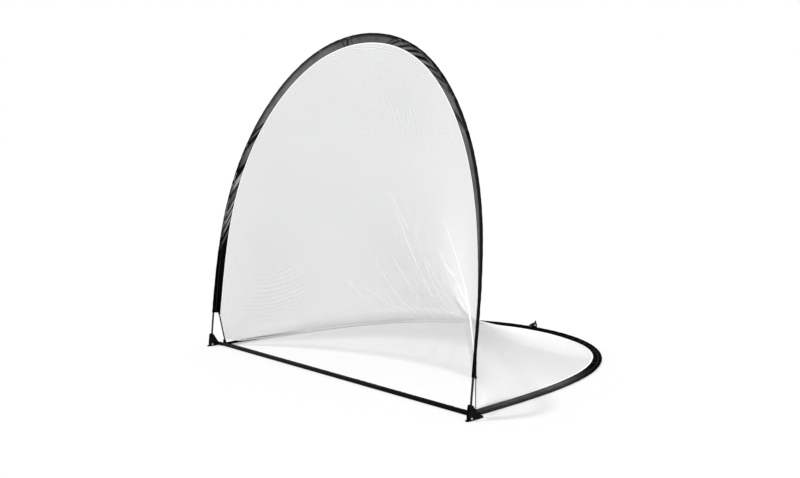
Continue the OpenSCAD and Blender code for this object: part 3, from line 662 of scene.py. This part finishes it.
def crossbarSleeve():
    back = bar["band"] - barHeight
    # outline as (y, z): the flat skirt from its back edge, over the tube, and home on the ground
    skirt = [(back, 0.0004), (back, 0.002), (back - 0.0012, 0.0027), (back - 0.0035, 0.0024),
             (back - 0.005, 0.003)]
    skirt += [(back * share, 0.0026 + 0.0008 * (1 - share)) for share in np.linspace(0.85, 0.42, 10)]
    skirt += [(0.018, 0.004), (0.015, 0.0056), (0.0125, 0.008)]
    arc = [(barHeight * math.cos(a), barHeight + barHeight * math.sin(a))
           for a in np.radians(np.linspace(15, 250, 17))]
    base = [(-0.003, 0.0002), (0.0, 0.0)]
    base += [(back * share, 0.0) for share in (0.12, 0.25, 0.4, 0.55, 0.7, 0.85, 0.97)]
    outline = np.array(skirt + arc + base)
    along = np.linspace(-barLength / 2, barLength / 2, int(barLength / bar["row"]))
    y, z = outline[:, 0][None], outline[:, 1][None]
    soft = np.abs(sum(height * smoothNoise(along[:, None] / far, y / wide, seed)
                      for seed, (height, far, wide) in enumerate(bar["slack"], 5)))
    soft = soft * readAt(bar["slackAbove"], z)
    ends = [(barLength / 2 - bar["nearEnd"], 1), (barLength / 2, bar["endSlack"])]
    soft = soft * readAt(ends, np.abs(along))[:, None]
    turn = np.radians(np.linspace(15, 375, len(outline) + 1)[:-1] - 40)
    bore = bar["radius"] + bar["gap"]
    rings, inner = (np.stack(np.broadcast_arrays(along[:, None], a, b), -1) for a, b in (
        (y, z + soft), ((bore * np.cos(turn))[None], (barHeight + bore * np.sin(turn))[None])))
    boreRows = someRows(len(along), bar["boreEvery"])
    piece = tubePiece("crossbar_cloth", rings, inner, boreRows, along + bar["patternFrom"],
                      aroundLengths(outline))
    # painted light: sheen fading from the left end to the right, with painted shade along both edges
    lightShare = np.interp(along, [-barLength / 2, barLength / 2], bar["paintedLight"])[:, None]
    lightShare = lightShare * readAt([(0, 0.2), (0.006, 0.8), (0.014, 1), (back - 0.012, 1), (back - 0.005, 0.3),
                        (back, 0.2)], y)
    pointValues(piece, "paintedLight", np.concatenate([lightShare.ravel(), lightShare[boreRows].ravel()]))
    return piece


barFinish = makeFinish("woven polyester crossbar cloth", wovenPolyester, bar["stitches"])
dress(crossbarSleeve(), barFinish, "sleeve_cloth", "base", "crossbar_sleeve")

# The net, between one seam along the arch band and the straps and another along the bow band
net = {"columns": 440, "rows": 170, "pull": 0.72, "waves": 280, "tautRows": 240, "cadColumns": 56,
       "thick": 0.0008,
       # folds from one share across to another
       "foldFrom": 0.54, "foldSpan": 0.3, "foldCount": 4, "foldHeight": 0.005,
       "dip": 0.022, "dipPlace": (0.61, 0.72), "dipReach": (0.12, 0.15),
       "archBinding": 0.0045, "bowBinding": 0.009, "bySeam": [0.0012, 0.004, 0.008, 0.014],
       "shortest": 0.06,  # columns shorter than this have their rows closer together
       "onStrap": 0.25, "bowCorner": 0.01,  # where the two seams start, as shares of the edge strap
       "cutEvery": 8, "cutRounds": 150, "cutSpring": 1.6}
strap = {"width": 0.008, "thick": 0.0016, "anchorHeight": 0.018, "anchorBack": 0.004, "sliderHeight": 0.012,
         "dip": 0.45, "rows": 40, "core": 0.1}
seam = band["gap"] + net["thick"] / 2
strapDip = strap["dip"] * strap["width"] / 2
anchorY = goal["bowStart"] - strap["anchorBack"]


def cornerFrame(side):
    along = band["barePole"] if side < 0 else archLength - band["barePole"]
    place, inward, across, ahead = frameAt(archCurve, along, archReference)
    return place, turned(inward, across, bandTurn(place[2])), ahead if side < 0 else -ahead


def strapEnds(side):
    place, towards, up = cornerFrame(side)
    foot = np.array([side * bowHalf, anchorY, 2 * bowHeight + strap["anchorHeight"] + band["gap"] + strapDip])
    drop = strap["sliderHeight"] + 2 * band["gap"] + strapDip
    return foot, place + (bandReach - strap["width"] / 2) * towards - drop * up, towards


def besideStrap(side, share):
    foot, head, towards = strapEnds(side)
    along = unit(head - foot)
    wide = unit(towards - (towards @ along) * along)
    return foot + share * (head - foot) + (strap["width"] / 2 + seam) * wide


def archSeam(column):
    # columns are counted 0 to 56, two of them beside each strap and the rest on the band
    last = net["cadColumns"]
    edge = min(column, last - column)
    if edge < 2:
        share = net["onStrap"] + (1 - net["onStrap"]) * edge / 2
        return besideStrap(-1 if column < last / 2 else 1, share)
    along = band["barePole"] + (archLength - 2 * band["barePole"]) * (column - 2) / (last - 4)
    place, inward, across, _ = frameAt(archCurve, along, archReference)
    return place + (bandReach + seam) * turned(inward, across, bandTurn(place[2]))


def bowSeam(column):
    last = net["cadColumns"]
    edge = min(column, last - column)
    over = np.interp(edge, [1, 2, 3], [band["thick"] / 2 + 2 * seam, band["thick"] / 2, 0])
    along = band["bowSocket"] + (bowLength - 2 * band["bowSocket"]) * column / last
    tilt = float(bowTiltAt(along))
    place, inward, across, _ = frameAt(bowCurve, along, bowReference)
    spot = (place + (bandReach + seam / math.cos(tilt)) * inward
            - ((bandReach - pocketOut) * math.tan(tilt) + over) * across)
    if edge < 1:
        end = besideStrap(-1 if column < last / 2 else 1, net["bowCorner"])
        return end + (spot - end) * edge
    return spot


def fade(rate, v):
    return (np.exp(-rate * v) - np.exp(-rate * (2 - v))) / (1 - np.exp(-2 * rate))


def netSurface():
    # the taut surface between the seams, summed from its sine waves
    waves = net["waves"]
    share = np.linspace(0, 1, waves + 1)
    k = np.arange(1, waves)
    u, v = np.linspace(0, 1, net["columns"] + 1), np.linspace(0, 1, net["tautRows"] + 1)
    basis, wide = np.sin(math.pi * np.outer(k, share)), np.sin(math.pi * np.outer(u, k))
    rate = math.pi * k * net["pull"]
    points, ends = 0, []
    for seamAt, along in ((archSeam, v), (bowSeam, 1 - v)):
        line = np.array([seamAt(c) for c in share * net["cadColumns"]])
        size = 2 / waves * basis @ (line - line[0] - share[:, None] * (line[-1] - line[0]))
        points = points + np.einsum("ck,rk,kx->crx", wide, fade(rate[None], along[:, None]), size)
        ends.append(line[0] + u[:, None] * (line[-1] - line[0]))
    a, b = ends
    return u, v, points + a[:, None] + v[None, :, None] * (b - a)[:, None]


def spread(u, v, place, reach):
    # 1 at a place on the net, fading to nothing around it
    return np.exp(-((u - place[0]) / reach[0]) ** 2 - ((v - place[1]) / reach[1]) ** 2)


def netNormals(points):
    return unit(np.cross(np.gradient(points, axis=0), np.gradient(points, axis=1)))


def addFolds(u, v, points):
    share = (u[:, None] - net["foldFrom"]) / net["foldSpan"]
    waves = np.sin(2 * math.pi * net["foldCount"] * share) * np.sin(math.pi * share)
    lift = net["foldHeight"] * waves * np.sin(math.pi * v[None] ** 0.8) ** 2
    lift = np.where((share > 0) & (share < 1), lift, 0)
    dip = net["dip"] * spread(u[:, None], v[None], net["dipPlace"], net["dipReach"])
    return points + lift[..., None] * netNormals(points) - dip[..., None] * np.array([0, 0, 1])


def spaceRows(points):
    # rows close together along both seams, for the sewn binding
    upper, lower = (np.append(np.linspace(0, net[name], 4), net[name] + np.array(net["bySeam"]))
                    for name in ("archBinding", "bowBinding"))
    even, out, downs = np.linspace(0, 1, net["rows"]), [], []
    for column, length in zip(points, runLengths(points, 1)):
        total = length[-1]
        squeeze = min(1, total / net["shortest"])
        first, last = upper * squeeze, total - lower[::-1] * squeeze
        down = np.concatenate([first, first[-1] + (last[0] - first[-1]) * even[1:-1], last])
        out.append(np.stack([np.interp(down, length, column[:, i]) for i in range(3)], -1))
        downs.append(down)
    return np.array(out), np.array(downs)


def flatten(points):
    # the cloth's cut shape: lay a coarse grid of it flat, its columns side by side, and let every edge
    # spring back towards its real length
    cols, rows = someRows(points.shape[0], net["cutEvery"]), someRows(points.shape[1], net["cutEvery"])
    coarse = points[np.ix_(cols, rows)]
    index = np.arange(len(cols) * len(rows)).reshape(len(cols), len(rows))
    edges = np.concatenate([np.stack([a.ravel(), b.ravel()], 1) for a, b in (
        (index[:-1], index[1:]), (index[:, :-1], index[:, 1:]),
        (index[:-1, :-1], index[1:, 1:]), (index[:-1, 1:], index[1:, :-1]))])
    solid = coarse.reshape(-1, 3)
    rest = np.linalg.norm(solid[edges[:, 0]] - solid[edges[:, 1]], axis=1)
    down, across = runLengths(coarse, 1), runLengths(coarse[:, len(rows) // 2])
    flat = np.stack([np.repeat(across[:, None] - across[-1] / 2, len(rows), 1), down[:, -1:] / 2 - down], -1)
    flat = flat.reshape(-1, 2)
    count = np.bincount(edges.ravel(), minlength=len(flat))[:, None]
    for _ in range(net["cutRounds"]):
        apart = flat[edges[:, 1]] - flat[edges[:, 0]]
        now = np.linalg.norm(apart, axis=1) + 1e-9
        pull = (0.5 * (now - rest) / now)[:, None] * apart
        move = np.stack([np.bincount(edges[:, 0], pull[:, i], len(flat))
                         - np.bincount(edges[:, 1], pull[:, i], len(flat)) for i in (0, 1)], 1)
        flat += net["cutSpring"] * move / count
    grid = flat.reshape(len(cols), len(rows), 2)
    everyCol, everyRow = np.arange(points.shape[0]), np.arange(points.shape[1])
    full = []
    for i in (0, 1):
        fine = np.stack([np.interp(everyRow, rows, line) for line in grid[..., i]])
        full.append(np.stack([np.interp(everyCol, cols, column) for column in fine.T], 1))
    return np.stack(full, -1)


netU, netV, tautPoints = netSurface()
tautPoints = addFolds(netU, netV, tautPoints)
netPoints, netDown = spaceRows(tautPoints)
netFlat = flatten(netPoints)
hinge = np.array([-goal["pivotSet"], goal["pivotHeight"]])


def hingeAngle(points):
    return np.arctan2(points[..., 2] - hinge[1], points[..., 1] - hinge[0])


def foldWeights(points, columns):
    # how far each point turns with the arch: its share of the angle between the bow and the arch
    top, low = (np.interp(columns, netU, hingeAngle(tautPoints[:, row])) for row in (0, -1))
    return np.clip((hingeAngle(points) - low) / np.maximum(top - low, 1e-4), 0, 1)


def bendWith(piece):
    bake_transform(piece)


# Places on the net are a share across it, from left to right, and a share down it, from the arch to the bow.
netTone = {
    # looser and tighter stretches: (place, reach, drawn shut)
    "patches": [((0.22, 0.15), (0.16, 0.22), 0.05), ((0.5, 0.6), (0.14, 0.22), 0.12),
                ((0.8, 0.16), (0.1, 0.14), -0.06), ((0.95, 0.4), (0.1, 0.3), -0.1)],
    # faint ribs: (place, reach, strength, centre of their arcs on the flat cloth)
    "ribs": [((0.15, 0.48), (0.1, 0.17), 0.12, (-0.74, 0.58)),
             ((0.57, 0.11), (0.07, 0.07), 0.08, (-0.63, 0.65))],
    # knitted closer towards the bow: (share across, drawn shut), from one share down to another
    "closer": [(0, 0), (0.05, 0.15), (0.1, 0.6), (0.13, 0.84), (0.29, 0.82), (0.34, 0.97), (0.46, 0.97),
               (0.6, 0.3), (0.72, 0)],
    "closerFrom": (0.68, 0.83),
    # a change of the painted paleness by how shut that stretch is, brighter where it is a little shut and
    # darker where it is densest, except along its hem: (drawn shut, change of paleness)
    "closerLit": [(0, 0), (0.04, 0.2), (0.12, 0.23), (0.25, 0.18), (0.5, 0.03), (0.9, -0.26), (1, -0.3)],
    "hemFrom": (0.88, 0.94),
    # painted light: yarn painted paler towards the right, where the net catches more light, in the upper and
    # the lower part: (share across, how pale)
    "litUpper": [(0.55, 0), (0.66, 0.12), (0.78, 0.4), (1, 0.42)],
    "litLower": [(0.45, 0), (0.54, 0.25), (0.66, 0.3), (0.76, 0.3), (0.82, 0.42), (0.9, 0.85), (1, 0.95)],
    "litDown": [(0, 0.35), (0.1, 0.55), (0.3, 1)],
    "lowerFrom": (0.5, 0.75),
    "faintest": 0.004,  # ribs fainter than this are left out
}


def easeBetween(values, low, high):
    share = np.clip((values - low) / (high - low), 0, 1)
    return share * share * (3 - 2 * share)


def makeNet():
    cols, rows = netPoints.shape[:2]
    faces, (i, j) = gridFaces(cols, rows, False)
    corners = [(i, j + 1), (i + 1, j + 1), (i + 1, j), (i, j)]
    uv = np.stack([netFlat[a, b] for a, b in corners], 1).reshape(-1, 2)
    piece = meshPiece("net_mesh", netPoints, faces, uv)
    fromBow = netDown[:, -1:] - netDown
    down = netDown / netDown[:, -1:]
    bound = (netDown < net["archBinding"] + 1e-4) | (fromBow < net["bowBinding"] + 1e-4)
    closer = readAt(netTone["closer"], netU)[:, None] * easeBetween(down, *netTone["closerFrom"])
    drawn = np.where(bound, 1.0, closer)
    for place, reach, amount in netTone["patches"]:
        drawn = drawn + amount * spread(netU[:, None], down, place, reach)
    # painted light: paler yarn towards the right, where the net catches more light
    upper, lower = (readAt(netTone[name], netU)[:, None] for name in ("litUpper", "litLower"))
    paintedLit = upper * readAt(netTone["litDown"], down)
    paintedLit = paintedLit + (lower - paintedLit) * easeBetween(down, *netTone["lowerFrom"])
    change = readAt(netTone["closerLit"], closer)
    change = np.where(change < 0, change * (1 - easeBetween(down, *netTone["hemFrom"])), change)
    ribbed, ribPlace = np.zeros(down.shape), np.zeros(down.shape)
    for place, reach, amount, centre in netTone["ribs"]:
        here = amount * spread(netU[:, None], down, place, reach)
        ribPlace = np.where(here > ribbed, np.linalg.norm(netFlat - np.array(centre), axis=-1), ribPlace)
        ribbed = np.maximum(here, ribbed)
    pointValues(piece, "drawnShut", drawn)
    pointValues(piece, "paintedLit", paintedLit + np.where(bound, 0, change))
    pointValues(piece, "ribbed", np.where(ribbed > netTone["faintest"], ribbed, 0))
    pointValues(piece, "ribPlace", ribPlace)
    return piece


netCloth = makeNet()
dress(netCloth, netFinish, "net_mesh", None, "net")
bendWith(netCloth)

# Pinched folds that run from the far seam up towards the right leg: how broad each is, and its stations
pleats = {
    "height": 0.0006, "width": 0.0044, "stand": 0.0012, "rows": 90, "point": 0.15, "taper": (0.25, 0.12),
    "waver": 0.1, "waverRate": 9, "leastDrawn": 0.2, "clothOver": 2.4,
    # across a fold: (place, height)
    "profile": [(-1, 0), (-0.55, 0.22), (-0.22, 0.72), (0, 1), (0.22, 0.72), (0.55, 0.22), (1, 0)],
    "lines": [
        (1.1, [(0.523, 0.233), (0.536, 0.275), (0.55, 0.321), (0.555, 0.383), (0.559, 0.421), (0.55, 0.479),
               (0.545, 0.542), (0.514, 0.629), (0.473, 0.733), (0.42, 0.846)]),
        (0.8, [(0.534, 0.246), (0.555, 0.292), (0.575, 0.338)]),
        (0.8, [(0.536, 0.379), (0.536, 0.458), (0.53, 0.575), (0.49, 0.69), (0.439, 0.804)]),
        (1.0, [(0.48, 0.396), (0.48, 0.45), (0.475, 0.521), (0.466, 0.608), (0.427, 0.729), (0.373, 0.892)]),
        (1.0, [(0.607, 0.3), (0.602, 0.342), (0.6, 0.388), (0.607, 0.438), (0.573, 0.55), (0.534, 0.654),
               (0.457, 0.804), (0.416, 0.892)]),
        (1.0, [(0.6, 0.3), (0.609, 0.371), (0.623, 0.45), (0.616, 0.56), (0.56, 0.68), (0.49, 0.8)]),
        (1.0, [(0.655, 0.279), (0.686, 0.304), (0.748, 0.3), (0.823, 0.225), (0.875, 0.146)]),
        (1.2, [(0.68, 0.292), (0.702, 0.321), (0.732, 0.329), (0.761, 0.342), (0.823, 0.275), (0.861, 0.2)]),
        (1.2, [(0.68, 0.283), (0.723, 0.3), (0.791, 0.258), (0.859, 0.167)]),
        (1.5, [(0.709, 0.171), (0.73, 0.175), (0.773, 0.183), (0.825, 0.163), (0.868, 0.129),
               (0.923, 0.095)]),
        (2.6, [(0.836, 0.175), (0.866, 0.146), (0.893, 0.125), (0.918, 0.105), (0.942, 0.075),
               (0.965, 0.045)]),
        (0.9, [(0.423, 0.462), (0.411, 0.592), (0.384, 0.733), (0.359, 0.85)]),
        (0.9, [(0.377, 0.592), (0.377, 0.633), (0.364, 0.708), (0.345, 0.817), (0.332, 0.892)]),
        (0.9, [(0.341, 0.55), (0.35, 0.658), (0.35, 0.771), (0.339, 0.883)]),
        (0.8, [(0.318, 0.467), (0.32, 0.604), (0.309, 0.787)]),
        (0.8, [(0.275, 0.887), (0.302, 0.838), (0.334, 0.804), (0.332, 0.887)]),
    ],
}


def surfaceAt(u, v, values):
    # value of the taut surface's grid at a share across and a share down
    a = np.clip(u * (len(netU) - 1), 0, len(netU) - 1.001)
    b = np.clip(v * (len(netV) - 1), 0, len(netV) - 1.001)
    i, j = a.astype(int), b.astype(int)
    s, t = (a - i)[:, None], (b - j)[:, None]
    return ((1 - s) * (1 - t) * values[i, j] + s * (1 - t) * values[i + 1, j]
            + (1 - s) * t * values[i, j + 1] + s * t * values[i + 1, j + 1])


def smoothLine(stations, count):
    # a rounded line through the stations
    stations = np.array(stations)
    marks = runLengths(stations)
    even = np.linspace(0, marks[-1], count)
    line = np.stack([np.interp(even, marks, stations[:, i]) for i in (0, 1)], 1)
    for _ in range(count // 4):
        line[1:-1] = 0.5 * line[1:-1] + 0.25 * (line[:-2] + line[2:])
    return line


def makePleats():
    normals = netNormals(tautPoints)
    profile = np.array(pleats["profile"])
    begin, finish = pleats["taper"]
    points, faces, columns, drawn, uv = [], [], [], [], []
    for number, (broad, stations) in enumerate(pleats["lines"]):
        line = smoothLine(stations, pleats["rows"])
        place, up = surfaceAt(*line.T, tautPoints), unit(surfaceAt(*line.T, normals))
        wide = np.cross(unit(np.gradient(place, axis=0)), up)
        share = np.linspace(0, 1, len(line))
        taper = easeBetween(np.minimum(share / begin, (1 - share) / finish), 0, 1)
        taper = taper * (1 - pleats["waver"] + pleats["waver"] * np.sin(pleats["waverRate"] * share + number))
        half = pleats["width"] * broad * (pleats["point"] + (1 - pleats["point"]) * taper[:, None])
        rise = profile[None, :, 1] * pleats["height"] * taper[:, None] + pleats["stand"]
        ring = (place[:, None] + (profile[None, :, 0] * half)[..., None] * wide[:, None]
                - rise[..., None] * up[:, None])
        made, (i, j) = gridFaces(len(line), len(profile), False, sum(len(p) for p in points))
        faces += made
        points.append(ring.reshape(-1, 3))
        columns.append(np.repeat(line[:, 0], len(profile)))
        least = pleats["leastDrawn"]
        drawn.append(np.repeat(least + (1 - least) * taper, len(profile)))
        girth = np.linspace(0, pleats["clothOver"] * pleats["height"], len(profile))
        uv.append(gridUv(runLengths(place), girth, (i, j)))
    piece = meshPiece("net_pleats", np.concatenate(points), faces, np.concatenate(uv))
    pointValues(piece, "drawnShut", np.concatenate(drawn))
    # painted highlight: the folds take the palest yarn, for the light their ridges catch
    pointValues(piece, "paintedLit", np.ones(len(piece.data.vertices)))
    return piece, foldWeights(np.concatenate(points), np.concatenate(columns))


netPleats, pleatWeights = makePleats()
dress(netPleats, netFinish, "net_mesh", None, "net")
bendWith(netPleats)

# Edge straps of the lower front corners: half of the tape's outline, and its other half turns it round
tapeHalf = [(-1, -0.6), (-0.9, -1), (-0.4, -0.9), (0, -0.85), (0.4, -0.9), (0.9, -1), (1, -0.6)]
section = np.array(tapeHalf + [(-x, -y) for x, y in tapeHalf])
for side, name in ((-1, "left"), (1, "right")):
    foot, head, towards = strapEnds(side)
    along = unit(head - foot)
    wide = unit(towards - (towards @ along) * along)
    out = np.cross(along, wide)
    length = float(np.linalg.norm(head - foot))
    steps = np.linspace(0, 1, strap["rows"])
    rings = np.array([[foot + s * (head - foot) + x * strap["width"] / 2 * wide + y * strap["thick"] / 2 * out
                       for x, y in section] for s in steps])
    middle = rings.mean(1, keepdims=True)
    girth = np.linspace(0, 2 * (strap["width"] + strap["thick"]), len(section) + 1)
    tape = tubePiece(f"edge_tape_{name}", rings, middle + strap["core"] * (rings - middle),
                     np.arange(len(steps)), steps * length, girth)
    dress(tape, webbingFinish, "strap_webbing", None, f"edge_strap_{name}")
    bendWith(tape)
print("straps made")

# Keeper tab: a folded, stitched piece of webbing with a cord hole, and its toggle
tab = {
    "width": 0.066, "height": 0.028, "x": -0.061, "thick": 0.0024, "gap": 0.0001, "edgeStep": 0.003,
    "hole": 0.004, "holeAt": (0.015, 0.012),  # from the tab's right edge and its foot
    # over the front, from the hole out to the hem: (share of the way, thickness)
    "front": [(0, 0.35), (0, 0.75), (0.06, 1), (0.12, 0.8), (0.5, 0.8), (0.84, 0.8), (0.88, 0.5),
              (0.92, 0.95), (0.985, 1), (1, 0.6)],
}
toggle = {
    "radius": 0.007, "sides": 28, "fromEdge": 0.013, "gap": 0.0002,
    # cord lock: a ribbed barrel with a domed button on top, as (radius, height)
    "lathe": [(0.55, -0.98), (0.78, -0.86), (0.84, -0.7), (0.84, -0.5), (0.78, -0.46), (0.78, -0.36),
              (0.84, -0.32), (0.84, -0.1), (0.78, -0.06), (0.78, 0.04), (0.84, 0.08), (0.84, 0.3),
              (0.74, 0.36), (0.56, 0.38), (0.56, 0.62), (0.52, 0.8), (0.36, 0.94)],
}


def makeTab():
    half, tall = tab["width"] / 2, tab["height"]
    outline = np.array([(-half, 0), (half, 0), (half - 0.002, tall - 0.003), (half - 0.005, tall),
                        (0.004, tall), (-0.002, tall - 0.005), (-half + 0.014, tall * 0.55), (-half, 0.004)])
    centre = np.array([half - tab["holeAt"][0], tab["holeAt"][1]])
    edge = []
    for a, b in zip(outline, np.roll(outline, -1, 0)):
        steps = max(2, int(np.linalg.norm(b - a) / tab["edgeStep"]))
        edge += [a + (b - a) * s / steps for s in range(steps)]
    edge = np.array(edge)
    rim = centre + tab["hole"] * unit(edge - centre)
    fronts = []
    for share, thick in tab["front"]:
        spot = rim + share * (edge - rim)
        front = np.full(len(edge), goal["depth"] - thick * tab["thick"] / 2)
        fronts.append(np.stack([tab["x"] + spot[:, 0], front, 2 * bowHeight + tab["gap"] + spot[:, 1]], -1))
    backs = [ring * [1, -1, 1] + [0, 2 * goal["depth"], 0] for ring in fronts[::-1]]
    rings = np.array(fronts + backs + fronts[:1])
    faces, _ = gridFaces(len(rings), len(edge), True, flip=True)
    inner = len(fronts + backs) * len(edge)
    faces = [[index % inner for index in face] for face in faces]
    piece = meshPiece("keeper_webbing", rings[:-1], faces)
    layer = piece.data.uv_layers.new(name="clothMetres")
    places = np.array([piece.data.vertices[loop.vertex_index].co[:] for loop in piece.data.loops])
    layer.data.foreach_set("uv", places[:, [0, 2]].astype(np.float32).ravel())
    return piece


def makeToggle():
    r, sides = toggle["radius"], toggle["sides"]
    centre = np.array([tab["x"] + tab["width"] / 2 - toggle["fromEdge"], goal["depth"],
                       2 * bowHeight + tab["height"] + toggle["gap"] + r])
    angle = 2 * math.pi * np.arange(sides) / sides
    rings = np.array([[centre + r * np.array([size * math.cos(a), size * math.sin(a), rise]) for a in angle]
                      for size, rise in toggle["lathe"]])
    faces, _ = gridFaces(len(rings), sides, True)
    below, above = len(rings) * sides, len(rings) * sides + 1
    for j in range(sides):
        k = (j + 1) % sides
        faces += [[below, k, j], [above, (len(rings) - 1) * sides + j, (len(rings) - 1) * sides + k]]
    ends = [centre - [0, 0, r], centre + [0, 0, r]]
    return meshPiece("keeper_cord_lock", np.concatenate([rings.reshape(-1, 3), ends]), faces)


dress(makeTab(), webbingFinish, "strap_webbing", "base", "keeper_tab")
dress(makeToggle(), nylonFinish, "moulded_nylon", "base", "keeper_toggle")
print("keeper made")

# Hard parts carried over from the solids; the moulded parts and the pins get softened edges
softEdge = {"width": 0.0005, "segments": 2, "above": math.radians(40)}
hardParts = [
    (nylonFinish, True, [f"{part}_{side}" for part in ("pole_cup", "strap_slider", "foot", "strap_anchor")
                         for side in ("left", "right")]),
    (pinFinish, True, ["pivot_pin_left", "pivot_pin_right"]),
    (coatFinish, False, [f"crossbar_tube_{place}" for place in ("left", "middle", "right")]),
    (ferruleFinish, False, ["crossbar_joiners"]),
]
for finish, soften, names in hardParts:
    for name in names:
        part = nodes[name]
        part.data.materials.clear()
        part.data.materials.append(finish)
        if soften:
            rounded = part.modifiers.new("rounded edges", "BEVEL")
            rounded.width = softEdge["width"]
            rounded.segments = softEdge["segments"]
            rounded.limit_method = "ANGLE"
            rounded.angle_limit = softEdge["above"]
print("hard parts dressed")

studio = {
    "keyFrom": (-0.21, -0.21, 0.955), "keyAngle": 4.5, "key": 1.9,
    "fillFrom": (-0.55, -0.75, 0.36), "fill": 1.12, "ambient": 0.8, "fillSpread": (0.1, 0.95),
    "floorSize": 30, "floorDrop": 0.0002, "floorGlow": 0.478, "floorShade": 0.36, "floorBounce": 0.78,
}

keyData = bpy.data.lights.new("key softbox", "SUN")
keyData.energy = studio["key"]
keyData.angle = math.radians(studio["keyAngle"])
keyLamp = bpy.data.objects.new("key softbox", keyData)
keyLamp.rotation_euler = Vector(studio["keyFrom"]).to_track_quat("Z", "Y").to_euler()
bpy.context.scene.collection.objects.link(keyLamp)


def grey(share):
    return (share, share, share, 1)


def seenDirectly(add):
    # 1 for rays from the camera and by way of mirrors and glass
    path = add("LightPath", take="all")
    seen = path["Is Camera Ray"]
    for kind in ("Is Glossy Ray", "Is Transmission Ray"):
        seen = add("Math", links={0: seen, 1: path[kind]}, operation="MAXIMUM")
    return seen


def paperSweep(add):
    # White paper sweep: it glows just short of white, so it still takes the shadows.
    paper = add("BsdfDiffuse", {"Color": grey(studio["floorShade"])})
    glow = add("Emission", {"Strength": studio["floorGlow"]})
    both = add("AddShader", links={0: paper, 1: glow})
    bounce = add("BsdfDiffuse", {"Color": grey(studio["floorBounce"])})
    return add("MixShader", links={0: seenDirectly(add), 1: bounce, 2: both})


size, drop = studio["floorSize"], -studio["floorDrop"]
corners = [(-size, -size, drop), (size, -size, drop), (size, size, drop), (-size, size, drop)]
floor = meshPiece("studio_floor", corners, [(0, 1, 2, 3)], smooth=False)
floor.data.materials.append(makeFinish("white paper sweep", paperSweep))

# The room: white to look at, and a soft light that comes mostly from the front left
world = bpy.data.worlds.new("studio")
bpy.context.scene.world = world
world.use_nodes = True
world.node_tree.nodes.clear()
add = partial(addNode, world.node_tree)
white = add("Background", {"Color": grey(1), "Strength": 1})
towards = add("TexCoord", take="Generated")
front = Vector(studio["fillFrom"]).normalized()
facing = add("VectorMath", {1: front}, {0: towards}, take="Value", operation="DOT_PRODUCT")
side, centre = studio["fillSpread"]
strength = add("MapRange", {1: side, 2: centre, 3: studio["ambient"], 4: studio["fill"]}, {0: facing},
               interpolation_type="SMOOTHSTEP")
room = add("Background", {"Color": grey(1)}, {"Strength": strength})
mixed = add("MixShader", links={0: seenDirectly(add), 1: room, 2: white})
add("OutputWorld", links={"Surface": mixed})
print("studio made")
